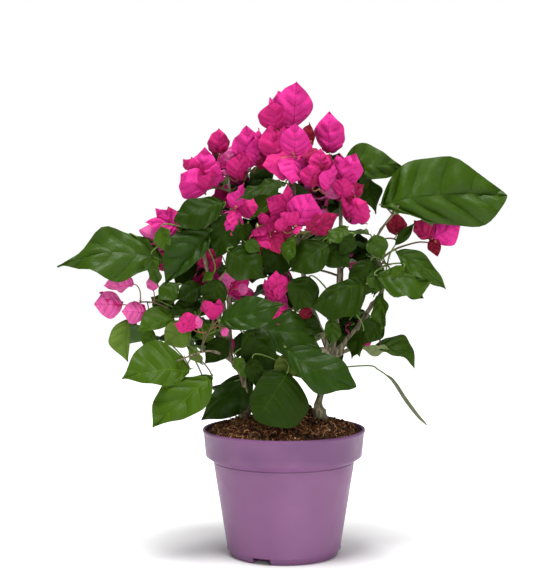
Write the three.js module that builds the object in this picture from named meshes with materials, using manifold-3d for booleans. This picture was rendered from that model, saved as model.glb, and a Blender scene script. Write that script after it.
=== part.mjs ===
// Bougainvillea shrub in a nursery pot: two woody stems rise from the potting soil,
// fork into boughs, and carry pads of leaves and clumps of papery blossom.
// Millimetres, +Z up. The origin is the centre of the pot's flat foot and the front is -Y.

import * as THREE from 'three';
import { mergeVertices } from 'three/addons/utils/BufferGeometryUtils.js';
import Module from 'manifold-3d';

const wasm = await Module();
wasm.setup();
const { Manifold, Mesh: SolidMesh } = wasm;

// ---------------------------------------------------------------- driving dimensions

const GAP = 0.3; // clearance between two solids that touch
const CHIP = 30; // cubic millimetres: what a cut leaves below this is dropped

const POT = {
  height: 134.5,
  wall: 1.5,
  floor: 2,
  foot: 57, // radii from here down
  wallFoot: 60.3,
  wallTop: 74,
  collarFoot: 83.2,
  collarTop: 85,
  lip: 86,
  bandHeight: 7, // heights from here down
  wallTopHeight: 101.5,
  collarHeight: 107,
  lipHeight: 2.5,
  lipBevel: 0.6,
  segments: 32,
};

const NOTCH = { count: 3, bearing: -24, width: 18, height: 6, inner: 43, outer: 65 };
const DRAIN = { count: 6, circle: 30, radius: 4, sides: 8 };

const SOIL = {
  edge: 130.5, // height of the surface where it meets the pot
  mound: 17,
  crumbs: 1.1,
  base: 42.7, // the foot of the soil stands clear of the notches up to this radius and height
  clearHeight: 9,
  upCollar: 0.85, // how far up the collar the surface meets the pot
  rings: 4,
};
const ROOT_BALL = { at: [20, 40], rise: 14, spread: 17 };
const SEAT_MARGIN = 1; // the flat place under a stem is wider than its foot by this

const LIMB = { sides: 6, stepLength: 26, buried: 4 }; // buried: the length trimmed off a stem's foot
const LUMP = { coarse: 2, fine: 3, fineFrom: 26, wave: 0.07, ripple: 0.05 };

// Each stem: its route from the flat cut on the soil to its fork, and its radius at even steps.
const STEMS = {
  stem_left: {
    route: [[-43, 15, 142], [-42, 15, 152], [-40, 12, 166], [-44, 8, 188], [-51, 4, 202], [-60, 0, 213]],
    radii: [6.2, 5.2, 3.3, 3, 3.1, 3.4],
  },
  stem_right: {
    route: [[38, 0, 139], [38, 0, 149], [37, 1, 161], [42, 5, 181], [47, 7, 197], [52, 8, 213]],
    radii: [6, 5.6, 3.6, 3.4, 3.4, 3.6],
  },
};

// Each bough leaves the fork of its stem and tapers to the mass that it carries.
const BOUGHS = {
  bough_right_main: {
    stem: 'stem_right',
    route: [[74, 6, 236], [92, 8, 263], [104, 9, 281], [102, 8, 306], [97, 3, 335], [120, -18, 372]],
    radii: [3.4, 3.2, 2.9, 3.3, 2.4, 1.6],
  },
  bough_left_mid: { stem: 'stem_left', route: [[-84, -4, 240], [-112, -8, 256]], radii: [2.9, 2.2, 1.5] },
  bough_left_high: {
    stem: 'stem_left',
    route: [[-68, -4, 252], [-80, -10, 300], [-88, -26, 352]],
    radii: [3, 2.5, 2, 1.4],
  },
  bough_left_crown: {
    stem: 'stem_left',
    route: [[-58, 4, 262], [-54, 8, 320], [-56, 8, 372], [-60, 12, 410]],
    radii: [3, 2.6, 2.2, 1.8, 1.4],
  },
  bough_left_low: { stem: 'stem_left', route: [[-80, -22, 220], [-112, -46, 212]], radii: [2.6, 2, 1.4] },
  bough_left_back: {
    stem: 'stem_left',
    route: [[-62, 22, 240], [-66, 48, 272], [-68, 62, 300]],
    radii: [2.8, 2.4, 2, 1.6],
  },
  bough_centre: {
    stem: 'stem_right',
    route: [[42, 4, 232], [24, 0, 282], [14, 2, 350], [8, 2, 420], [6, 0, 462]],
    radii: [3.2, 2.9, 2.6, 2.1, 1.7, 1.3],
  },
  bough_right_crown: {
    stem: 'stem_right',
    route: [[56, 12, 256], [60, 14, 320], [60, 8, 372], [58, 2, 400]],
    radii: [3.1, 2.6, 2.2, 1.8, 1.3],
  },
  bough_right_low: { stem: 'stem_right', route: [[74, 2, 220], [104, -5, 222]], radii: [2.4, 1.9, 1.3] },
  bough_right_back: {
    stem: 'stem_right',
    route: [[56, 32, 240], [62, 56, 272], [64, 70, 300]],
    radii: [2.8, 2.4, 2, 1.6],
  },
  bough_front: {
    stem: 'stem_right',
    route: [[40, -22, 222], [24, -52, 222], [14, -64, 220]],
    radii: [2.6, 2.1, 1.7, 1.3],
  },
};

// Masses. at = centre, half = half sizes, tip = the way in which the mass narrows to its end,
// narrow = how sharply, droop = how far that end hangs, turn = degrees about Z.
const BLOSSOM = {
  bloom_top: { at: [5, 0, 474], half: [28, 22, 28], tip: [0.1, 0, 1], narrow: 0.45 },
  bloom_top_right: { at: [50, 3, 447], half: [16, 17, 25], tip: [0, 0, 1] },
  bloom_mid_top: { at: [9, -20, 426], half: [30, 22, 30] },
  bloom_left_top: { at: [-33, 0, 433], half: [18, 18, 23] },
  bloom_left_crest: { at: [-62, 12, 426], half: [22, 20, 28], tip: [0, 0, 1] },
  bloom_left_shoulder: { at: [-87, -14, 405], half: [23, 20, 27], tip: [0.3, 0, -1] },
  bloom_right: { at: [37, -26, 408], half: [22, 20, 25] },
  bloom_right_shoulder: { at: [67, -8, 396], half: [23, 20, 38] },
  bloom_heart: { at: [12, -40, 370], half: [30, 20, 25] },
  bloom_left_inner: { at: [-46, -25, 371], half: [23, 20, 28] },
  bloom_low: { at: [-17, -36, 342], half: [25, 18, 24] },
  bloom_left_edge: { at: [-129, 0, 347], half: [18, 16, 26], tip: [0, 0, -1] },
  bloom_far_left: { at: [-172, -8, 278], half: [30, 16, 29], tip: [-1, 0, -0.8] },
  bloom_right_pair: { at: [162, 0, 340], half: [25, 16, 21], tip: [0.2, 0, -1] },
  bloom_right_red: { at: [115, 6, 352], half: [15, 14, 17] },
  bloom_low_left: { at: [-84, -46, 262], half: [32, 22, 22] },
  bloom_low_mid: { at: [-8, -45, 276], half: [16, 17, 32] },
  bloom_mid_left: { at: [-52, -30, 291], half: [18, 18, 16] },
};

const LEAVES = {
  leaf_top_dark: { at: [-24, -52, 391], half: [27, 12, 14], tip: [1, 0, 0.2] },
  leaf_right_sail: { at: [167, -18, 383], half: [69, 13, 38], tip: [1, 0, -0.2], narrow: 0.5 },
  leaf_right_top: { at: [94, 26, 418], half: [34, 15, 20], tip: [1, 0, -0.6] },
  leaf_far_left: { at: [-181, -10, 324], half: [56, 13, 27], tip: [-1, 0, -0.15], narrow: 0.75, droop: 10 },
  leaf_left_upper: { at: [-96, -40, 336], half: [34, 14, 46], tip: [-0.3, 0, -1] },
  leaf_mid_left: { at: [-38, -52, 309], half: [28, 14, 22], tip: [-0.3, 0, -1] },
  leaf_mid_right: { at: [40, -48, 328], half: [38, 14, 25], tip: [1, 0, -0.3] },
  leaf_centre_right: { at: [52, -52, 276], half: [34, 14, 28], tip: [1, 0, -0.3] },
  leaf_front: { at: [-33, -66, 264], half: [36, 14, 21], tip: [1, 0, 0.4] },
  leaf_low_centre: { at: [-4, -50, 230], half: [46, 20, 30], tip: [1, 0, -0.2], narrow: 0.4 },
  leaf_front_right: { at: [39, -76, 210], half: [40, 12, 23], tip: [1, 0, -0.7] },
  leaf_front_low: { at: [-7, -68, 181], half: [30, 12, 28], tip: [0, 0, -1], narrow: 0.3 },
  leaf_low_left_back: { at: [-62, 12, 168], half: [29, 11, 26], tip: [-1, 0, -1] },
  leaf_left_low: { at: [-107, -54, 175], half: [31, 13, 31], tip: [-0.8, 0, -1], narrow: 0.5 },
  leaf_left_low_upper: { at: [-131, -44, 213], half: [38, 14, 28], tip: [-1, 0, -0.6] },
  leaf_left_mid: { at: [-122, -6, 255], half: [36, 16, 36], tip: [-0.4, 0, -1], narrow: 0.3 },
  leaf_left_hang: { at: [-171, 2, 229], half: [16, 12, 30], tip: [0.3, 0, -1] },
  leaf_right_mid: { at: [134, -12, 302], half: [39, 15, 30], tip: [1, 0, -0.8], droop: 4 },
  leaf_right_low: { at: [113, -5, 222], half: [33, 12, 17], tip: [1, 0, -0.7], droop: 5 },
};

const BACK_LEAVES = {
  back_left_low: { at: [-92, 48, 226], half: [46, 26, 42], tip: [-1, 0, 0.6], turn: 20 },
  back_left_high: { at: [-98, 50, 316], half: [58, 28, 50], tip: [-1, 0, 0.2], turn: 24 },
  back_left_crown: { at: [-34, 46, 392], half: [50, 26, 42], tip: [-0.4, 0, 1] },
  back_centre: { at: [-4, 78, 292], half: [58, 28, 62], tip: [0, 0, -1], narrow: 0.4 },
  back_right_crown: { at: [54, 46, 388], half: [50, 28, 44], tip: [0.5, 0, 1], narrow: 0.4 },
  back_right_high: { at: [94, 50, 316], half: [56, 28, 48], tip: [1, 0, 0.1], turn: -24 },
  back_right_low: { at: [72, 56, 234], half: [38, 24, 36], tip: [-0.4, 0, -1], turn: -20 },
};

// The one leaf that shows its edge: a thin blade that arches out and down from the right stem.
const ARCHED_LEAF = {
  route: [[51, 8, 209], [74, 18, 209], [98, 20, 201], [119, 20, 181], [137, 20, 158], [156, 20, 135.5]],
  radii: [1.2, 1.4, 9, 12, 8, 1.4],
  thickness: 0.22, // of the width
};

const COLOURS = {
  pot: 0x916694,
  soil: 0x3c2012,
  bark: 0x857a5c,
  leaf: 0x3a4f1b,
  backLeaf: 0x41551f,
  blossom: 0xd82a83,
};

// ---------------------------------------------------------------- geometry and solids

const radians = (degrees) => (degrees * Math.PI) / 180;
const vector = (point) => new THREE.Vector3(...point);

function isInsideOut(positions, triangles) {
  const corner = (i) => new THREE.Vector3().fromArray(positions, triangles[i] * 3);
  let volume = 0;
  for (let i = 0; i < triangles.length; i += 3) {
    volume += corner(i).dot(corner(i + 1).cross(corner(i + 2)));
  }
  return volume < 0;
}

function toSolid(geometry) {
  const bare = geometry.clone();
  bare.deleteAttribute('normal');
  bare.deleteAttribute('uv');
  const merged = mergeVertices(bare, 1e-4);
  const vertProperties = new Float32Array(merged.attributes.position.array);
  const triVerts = new Uint32Array(merged.index.array).filter((_, i, all) => {
    const first = i - (i % 3);
    const [a, b, c] = [all[first], all[first + 1], all[first + 2]];
    return a !== b && b !== c && c !== a; // the fans at a pole leave empty triangles
  });
  if (isInsideOut(vertProperties, triVerts)) triVerts.reverse();
  return new Manifold(new SolidMesh({ numProp: 3, vertProperties, triVerts }));
}

function toGeometry(solid) {
  const mesh = solid.getMesh();
  const geometry = new THREE.BufferGeometry();
  geometry.setAttribute('position', new THREE.BufferAttribute(mesh.vertProperties, 3));
  geometry.setIndex(new THREE.BufferAttribute(mesh.triVerts, 1));
  geometry.computeVertexNormals();
  return geometry;
}

function distanceTo(solid, point) {
  const { vertProperties } = solid.getMesh();
  const vertex = new THREE.Vector3();
  let nearest = Infinity;
  for (let i = 0; i < vertProperties.length; i += 3) {
    nearest = Math.min(nearest, vertex.fromArray(vertProperties, i).distanceTo(point));
  }
  return nearest;
}

const pieces = (solid) => solid.decompose().filter((piece) => piece.volume() > CHIP);
const largestPiece = (solid) => pieces(solid).sort((a, b) => b.volume() - a.volume())[0];

function pieceNearest(solid, point) {
  const ranked = pieces(solid).map((piece) => ({ piece, away: distanceTo(piece, point) }));
  return ranked.sort((a, b) => a.away - b.away)[0].piece;
}

function cutBy(solid, cutters) {
  return cutters.reduce((left, cutter) => left.subtract(cutter), solid);
}

// A round bar of changing radius along a smooth route. The section may be flattened in one direction.
function limb({ route, radii, thickness = 1 }, grow = 0) {
  const curve = new THREE.CatmullRomCurve3(route.map(vector));
  const steps = Math.ceil(curve.getLength() / LIMB.stepLength);
  const bar = new THREE.CylinderGeometry(1, 1, 1, LIMB.sides, steps);
  const frames = curve.computeFrenetFrames(steps, false);
  const place = bar.attributes.position;
  for (let i = 0; i < place.count; i += 1) {
    const along = place.getY(i) + 0.5;
    const row = Math.round(along * steps);
    const where = along * (radii.length - 1);
    const before = Math.min(Math.floor(where), radii.length - 2);
    const radius = THREE.MathUtils.lerp(radii[before], radii[before + 1], where - before);
    const point = curve.getPointAt(along);
    point.addScaledVector(frames.binormals[row], place.getX(i) * (radius + grow));
    point.addScaledVector(frames.normals[row], place.getZ(i) * (radius * thickness + grow));
    place.setXYZ(i, point.x, point.y, point.z);
  }
  return toSolid(bar);
}

// Smooth lumps and hollows over a unit sphere, different for each seed.
function unevenness(p, seed) {
  const wave = Math.sin(3.1 * p.x + 2.3 * p.z + seed) * Math.cos(2.7 * p.y - 1.7 * seed);
  const ripple = Math.sin(5.3 * p.z - 2.9 * p.x + 2.1 * seed);
  return 1 + LUMP.wave * wave + LUMP.ripple * ripple;
}

// A closed, uneven mass: a ball scaled to its half sizes, narrowed towards its tip.
function lump({ at, half, tip, narrow = 0.6, droop = 0, turn = 0 }, seed, grow = 0) {
  const isLarge = Math.max(...half) > LUMP.fineFrom;
  const ball = new THREE.OctahedronGeometry(1, isLarge ? LUMP.fine : LUMP.coarse);
  const place = ball.attributes.position;
  const toTip = tip ? vector(tip).normalize() : null;
  const p = new THREE.Vector3();
  for (let i = 0; i < place.count; i += 1) {
    p.fromBufferAttribute(place, i);
    const swell = unevenness(p, seed);
    if (toTip) {
      const along = Math.max(0, p.dot(toTip));
      const spine = toTip.clone().multiplyScalar(p.dot(toTip));
      p.lerp(spine, narrow * along ** 2);
      p.z -= (droop / half[2]) * along ** 2;
    }
    p.multiplyScalar(swell);
    p.multiply(new THREE.Vector3(half[0] + grow, half[1] + grow, half[2] + grow));
    place.setXYZ(i, p.x, p.y, p.z);
  }
  ball.rotateZ(radians(turn));
  ball.translate(...at);
  return toSolid(ball);
}

function cylinderUp(radius, height, [x, y, z], sides) {
  const cylinder = new THREE.CylinderGeometry(radius, radius, height, sides);
  cylinder.rotateX(radians(90));
  cylinder.translate(x, y, z + height / 2);
  return toSolid(cylinder);
}

function turned(profile, segments) {
  const lathe = new THREE.LatheGeometry(profile.map(([r, z]) => new THREE.Vector2(r, z)), segments);
  lathe.rotateX(radians(90));
  return lathe;
}

// ---------------------------------------------------------------- pot and soil

function potOutside() {
  return [
    [POT.foot, 0],
    [POT.wallFoot, POT.bandHeight],
    [POT.wallTop, POT.wallTopHeight],
    [POT.collarFoot, POT.collarHeight],
    [POT.collarTop, POT.height - POT.lipHeight],
    [POT.lip, POT.height - POT.lipHeight + POT.lipBevel],
    [POT.lip, POT.height],
  ];
}

function potInside(inset) {
  return [
    [POT.wallFoot - inset, POT.bandHeight],
    [POT.wallTop - inset, POT.wallTopHeight + POT.wall / 2],
    [POT.collarFoot - inset, POT.collarHeight + POT.wall / 2],
    [POT.collarTop - inset, POT.height - POT.lipHeight],
  ];
}

function makePot() {
  const inner = potInside(POT.wall);
  const bottom = [[POT.foot - POT.wall / 2, POT.floor], [0, POT.floor]];
  const lipInside = [POT.collarTop - POT.wall, POT.height];
  const profile = [[0, 0], ...potOutside(), lipInside, ...inner.reverse(), ...bottom];
  return cutBy(toSolid(turned(profile, POT.segments)), [...notches(), ...drains()]);
}

function notches() {
  return Array.from({ length: NOTCH.count }, (_, i) => {
    const depth = NOTCH.outer - NOTCH.inner;
    const box = new THREE.BoxGeometry(NOTCH.width, depth, NOTCH.height * 2);
    box.translate(0, -NOTCH.inner - depth / 2, 0);
    box.rotateZ(radians(NOTCH.bearing + (360 * i) / NOTCH.count));
    return toSolid(box);
  });
}

function drains() {
  return Array.from({ length: DRAIN.count }, (_, i) => {
    const angle = (2 * Math.PI * i) / DRAIN.count;
    const at = [DRAIN.circle * Math.cos(angle), DRAIN.circle * Math.sin(angle), -1];
    return cylinderUp(DRAIN.radius, POT.floor + 2, at, DRAIN.sides);
  });
}

// Height of the soil's surface: a mound over the pot, heaped higher over the root ball.
function soilHeight(x, y, reach) {
  const inward = Math.max(0, 1 - (x ** 2 + y ** 2) / reach ** 2);
  const away = Math.hypot(x - ROOT_BALL.at[0], y - ROOT_BALL.at[1]);
  const heap = ROOT_BALL.rise * Math.exp(-((away / ROOT_BALL.spread) ** 2)) * inward ** 0.3;
  const crumbs = SOIL.crumbs * Math.sin(x * 0.31 + y * 0.13) * Math.cos(y * 0.27 - x * 0.09);
  return SOIL.edge + SOIL.mound * inward ** 0.8 + heap + crumbs * inward ** 0.5;
}

function makeSoil() {
  const inset = POT.wall + GAP;
  const reach = THREE.MathUtils.lerp(POT.collarFoot, POT.collarTop, SOIL.upCollar) - inset;
  const bottom = POT.floor + GAP;
  const [, ...collar] = potInside(inset).slice(0, 3);
  const side = [[SOIL.base, bottom], [POT.wallFoot - inset, SOIL.clearHeight], ...collar];
  const rings = Array.from({ length: SOIL.rings + 1 }, (_, i) => [reach * (1 - i / SOIL.rings), POT.height]);
  const soil = turned([[0, bottom], ...side, ...rings], POT.segments);
  const place = soil.attributes.position;
  for (let i = 0; i < place.count; i += 1) {
    const isSurface = place.getZ(i) > SOIL.edge;
    if (isSurface) place.setZ(i, soilHeight(place.getX(i), place.getY(i), reach));
  }
  return cutBy(toSolid(soil), Object.values(STEMS).map(stemSeat));
}

// The flat place in the soil on which a stem's cut foot stands.
function stemSeat({ route, radii }) {
  const [x, y, z] = route[0];
  return cylinderUp(radii[0] + SEAT_MARGIN, POT.height, [x, y, z - GAP], LIMB.sides * 2);
}

// ---------------------------------------------------------------- plant

function makeStem({ route, radii }, grow = 0) {
  const [x, y, z] = route[0];
  const rooted = { route: [[x, y, z - LIMB.buried], ...route], radii: [radii[0], ...radii] };
  return limb(rooted, grow).trimByPlane([0, 0, 1], z);
}

function makeStems() {
  return Object.entries(STEMS).map(([name, stem]) => ({
    name,
    solid: makeStem(stem),
    grown: makeStem(stem, GAP),
    at: stem.route[0],
  }));
}

// Masses keep the order of the tables: a later one gives way to an earlier one and to the stems.
function makeMasses(stems) {
  const taken = stems.map((stem) => stem.grown);
  const arched = {
    name: 'leaf_right_arched',
    kind: 'leaf',
    solid: largestPiece(cutBy(limb(ARCHED_LEAF), taken)),
    grown: limb(ARCHED_LEAF, GAP),
    at: ARCHED_LEAF.route[0],
  };
  taken.push(arched.grown);
  const tables = { blossom: BLOSSOM, leaf: LEAVES, backLeaf: BACK_LEAVES };
  const specs = Object.entries(tables).flatMap(([kind, table]) =>
    Object.entries(table).map(([name, spec]) => ({ name, kind, spec })));
  const masses = specs.map(({ name, kind, spec }, seed) => {
    const solid = largestPiece(cutBy(lump(spec, seed), taken));
    const grown = lump(spec, seed, GAP);
    taken.push(grown);
    return { name, kind, solid, grown, at: spec.at };
  });
  return [arched, ...masses];
}

// A bough starts on its stem's fork, clear of the boughs made before it, and ends at a mass.
function makeBoughs(stems, masses) {
  const taken = [...stems, ...masses].map((piece) => piece.grown);
  return Object.entries(BOUGHS).map(([name, { stem, route, radii }]) => {
    const fork = STEMS[stem].route.at(-1);
    const bough = { route: [fork, ...route], radii };
    const solid = pieceNearest(cutBy(limb(bough), taken), vector(fork));
    taken.push(limb(bough, GAP));
    return { name, solid, at: fork };
  });
}

// ---------------------------------------------------------------- assembly

function material(colour, roughness) {
  return new THREE.MeshStandardMaterial({ color: COLOURS[colour], roughness, metalness: 0 });
}

const MATERIALS = {
  pot: material('pot', 0.42),
  soil: material('soil', 0.95),
  bark: material('bark', 0.85),
  leaf: material('leaf', 0.45),
  backLeaf: material('backLeaf', 0.5),
  blossom: material('blossom', 0.7),
};

function node({ name, solid, at }, kind) {
  const geometry = toGeometry(solid);
  geometry.translate(-at[0], -at[1], -at[2]);
  const mesh = new THREE.Mesh(geometry, MATERIALS[kind]);
  mesh.name = name;
  mesh.position.set(...at);
  return mesh;
}

function assembly() {
  const shrub = new THREE.Group();
  const potted = new THREE.Group();
  const wood = new THREE.Group();
  const foliage = new THREE.Group();
  const stems = makeStems();
  const masses = makeMasses(stems);
  const boughs = makeBoughs(stems, masses);
  potted.add(node({ name: 'pot', solid: makePot(), at: [0, 0, 0] }, 'pot'));
  potted.add(node({ name: 'soil', solid: makeSoil(), at: [0, 0, POT.floor + GAP] }, 'soil'));
  wood.add(...[...stems, ...boughs].map((piece) => node(piece, 'bark')));
  foliage.add(...masses.map((mass) => node(mass, mass.kind)));
  shrub.add(potted, wood, foliage);
  return shrub;
}

export default assembly();
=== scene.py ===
"""Bougainvillea shrub in a nursery pot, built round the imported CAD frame.

Lengths are in millimetres until a mesh is made. +Z is up, +X is right and the front is -Y.
"""
import math
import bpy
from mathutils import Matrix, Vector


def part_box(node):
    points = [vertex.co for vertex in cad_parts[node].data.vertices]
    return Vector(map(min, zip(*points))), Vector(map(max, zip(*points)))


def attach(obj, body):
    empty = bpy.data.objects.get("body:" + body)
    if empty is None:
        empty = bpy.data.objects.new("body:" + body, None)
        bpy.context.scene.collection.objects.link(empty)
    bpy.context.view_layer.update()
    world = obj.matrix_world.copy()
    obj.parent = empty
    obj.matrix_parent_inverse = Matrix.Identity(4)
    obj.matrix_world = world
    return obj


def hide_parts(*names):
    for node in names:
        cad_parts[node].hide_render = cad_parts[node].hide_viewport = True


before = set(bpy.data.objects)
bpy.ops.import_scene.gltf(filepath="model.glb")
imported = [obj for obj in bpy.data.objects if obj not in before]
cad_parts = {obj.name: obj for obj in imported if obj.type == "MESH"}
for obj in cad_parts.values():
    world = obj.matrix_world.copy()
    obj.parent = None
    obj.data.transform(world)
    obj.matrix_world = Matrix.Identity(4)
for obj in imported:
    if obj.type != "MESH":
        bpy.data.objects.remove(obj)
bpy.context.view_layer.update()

from types import SimpleNamespace

import bpy
import numpy as np

MM = 0.001

# The golden angle, and a quad's corners the other way round.
GOLDEN = math.pi * (3 - math.sqrt(5))
FLIPPED = [0, 3, 2, 1]

# The camera: its place, its degrees below level, its lens and its sensor.
EYE = np.array((-4.7, -1800.0, 420.0))
LOOK_DOWN = 4.22
LENS = 107.5
SENSOR = 36

# Where the random draws of each part start.
SEEDS = dict(litter=11, knobs=21, stems=31, boughs=51, plant=1000)

# ---------------------------------------------------------------- sizes of the made parts

# Radii and heights of the foot, of the bead round it (band), and of the wall, the collar and the lip.
POT = dict(
    foot=57, band_height=7, band=60.3, wall_foot=60, wall_top=74.8, collar_foot_z=101.5, collar=83.2,
    collar_z=107, collar_top=85.6, lip_foot=131.4, lip=86.3, height=135, wall=1.5, floor=2, round=0.9,
    segments=144,
)
NOTCH = dict(count=3, bearing=-24, width=20, height=6, depth=22, at=54)
DRAIN = dict(count=6, radius=4, at=30, height=6)
CUT_FROM = -3
SOIL = dict(
    edge=130.5, mound=17, heap_at=(20, 40), heap=14, heap_spread=17, reach=83.1, rings=70, segments=160,
)

# Crumbs of peat and bark, and each colour with its share of them. The first few colours are coarser.
CRUMBS = 1900
COARSE = 3
CRUMB_COLOURS = {
    "#120904": 0.38, "#3a1e0f": 0.24, "#62381d": 0.13, "#94704e": 0.08, "#4a4e28": 0.11, "#b89c7c": 0.06,
}
FIBRES = 420
FIBRE_COLOURS = ("#8c5530", "#c8946a", "#5c301a")

# Each limb's route and radii, as in the CAD. A bough starts at the end of its stem.
STEMS = {
    "stem_left": ([(-43, 15, 142), (-42, 15, 152), (-40, 12, 166), (-44, 8, 188), (-51, 4, 202),
                   (-60, 0, 213)], [6.2, 5.2, 3.3, 3, 3.1, 3.4]),
    "stem_right": ([(38, 0, 139), (38, 0, 149), (37, 1, 161), (42, 5, 181), (47, 7, 197), (52, 8, 213)],
                   [6, 5.6, 3.6, 3.4, 3.4, 3.6]),
}
BOUGHS = {
    "bough_right_main": ("stem_right", [(74, 6, 236), (92, 8, 263), (104, 9, 281), (102, 8, 306),
                                        (97, 3, 335), (120, -18, 372)],
                         [3.3, 2.7, 2.3, 2.1, 1.8, 1.4, 1.1]),
    "bough_left_mid": ("stem_left", [(-84, -4, 240), (-112, -8, 256)], [2.3, 1.5, 1]),
    "bough_left_high": ("stem_left", [(-68, -4, 252), (-80, -10, 300), (-88, -26, 352)], [3, 2.5, 2, 1.4]),
    "bough_left_crown": ("stem_left", [(-58, 4, 262), (-54, 8, 320), (-56, 8, 372), (-60, 12, 410)],
                         [3, 2.6, 2.2, 1.8, 1.4]),
    "bough_left_low": ("stem_left", [(-80, -22, 220), (-112, -46, 212)], [1.9, 1.1, 0.8]),
    "bough_left_back": ("stem_left", [(-62, 22, 240), (-66, 48, 272), (-68, 62, 300)], [2.8, 2.4, 2, 1.6]),
    "bough_centre": ("stem_right", [(42, 4, 232), (24, 0, 282), (14, 2, 350), (8, 2, 420), (6, 0, 462)],
                     [3.2, 2.9, 2.6, 2.1, 1.7, 1.3]),
    "bough_right_crown": ("stem_right", [(56, 12, 256), (60, 14, 320), (60, 8, 372), (58, 2, 400)],
                          [3.1, 2.6, 2.2, 1.8, 1.3]),
    "bough_right_low": ("stem_right", [(74, 2, 220), (104, -5, 222)], [2.4, 1.9, 1.3]),
    "bough_right_back": ("stem_right", [(56, 32, 240), (62, 56, 272), (64, 70, 300)], [2.8, 2.4, 2, 1.6]),
    "bough_front": ("stem_right", [(40, -22, 222), (24, -52, 222), (14, -64, 220)], [2.6, 2.1, 1.7, 1.3]),
}

# The round knob of old wood at the foot of each stem.
KNOB = dict(height=153, tall=4.5, swell=2.6)

# The floor lies a little under the pot.
FLOOR = dict(reach=2600, points=9, z=-0.3)

# Which way the face of a blade looks.
LOOKS = {
    "front": (0, -1, 0.15), "up": (0, -0.55, 0.85), "down": (0, -0.8, -0.6), "left": (-0.7, -0.7, 0.15),
    "right": (0.7, -0.7, 0.15), "mild": (0, -0.85, 0.5),
}

# Leaf colours by slot, those of veins and undersides too: colour, roughness and specular level.
GREENS = {
    "dark": ("#1e3103", 0.46, 0.06), "mid": ("#2d4604", 0.42, 0.13), "glossy": ("#203803", 0.42, 0.12),
    "bright": ("#385307", 0.46, 0.12), "pale": ("#5a732a", 0.55, 0.1), "deep": ("#172503", 0.5, 0.05),
    "olive": ("#46541a", 0.55, 0.1), "vein_dark": ("#2a4106", 0.5, 0.06),
    "vein_bright": ("#486a12", 0.5, 0.08), "under": ("#3c5526", 0.6, 0.1),
    "under_bright": ("#668040", 0.6, 0.1), "silver": ("#66704a", 0.6, 0.1),
}
LIGHT_GREENS = ("bright", "pale", "olive", "silver")
GREEN_SLOTS = list(GREENS)

# Bract colours by slot. bright, mid and deep are one magenta lit, half lit and in shade, so they are
# painted light and shade, and crimson, darker still, is painted shade too. The veins are darker, partly
# their own colour and partly painted shade of the grooves they lie in.
PINKS = {
    "bright": "#c4247e", "mid": "#b81c6a", "deep": "#900c44", "pale": "#cc5494", "crimson": "#720822",
    "vein": "#86104e", "vein_deep": "#540526", "under_deep": "#9c1650",
}
# The darkest pinks, painted shade, go on bracts that show their hollow side.
SHADED_PINKS = ("deep", "crimson")
PINK_SLOTS = list(PINKS)

TUBE_COLOURS = {"tube_flower": "#b0694c", "flower_star": "#efe7b4"}
TWIG_COLOURS = {"twig_brown": "#5a5234", "petiole_green": "#58702e", "pedicel_red": "#8a5a3c"}
BROWN, PETIOLE, PEDICEL = range(3)

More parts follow.
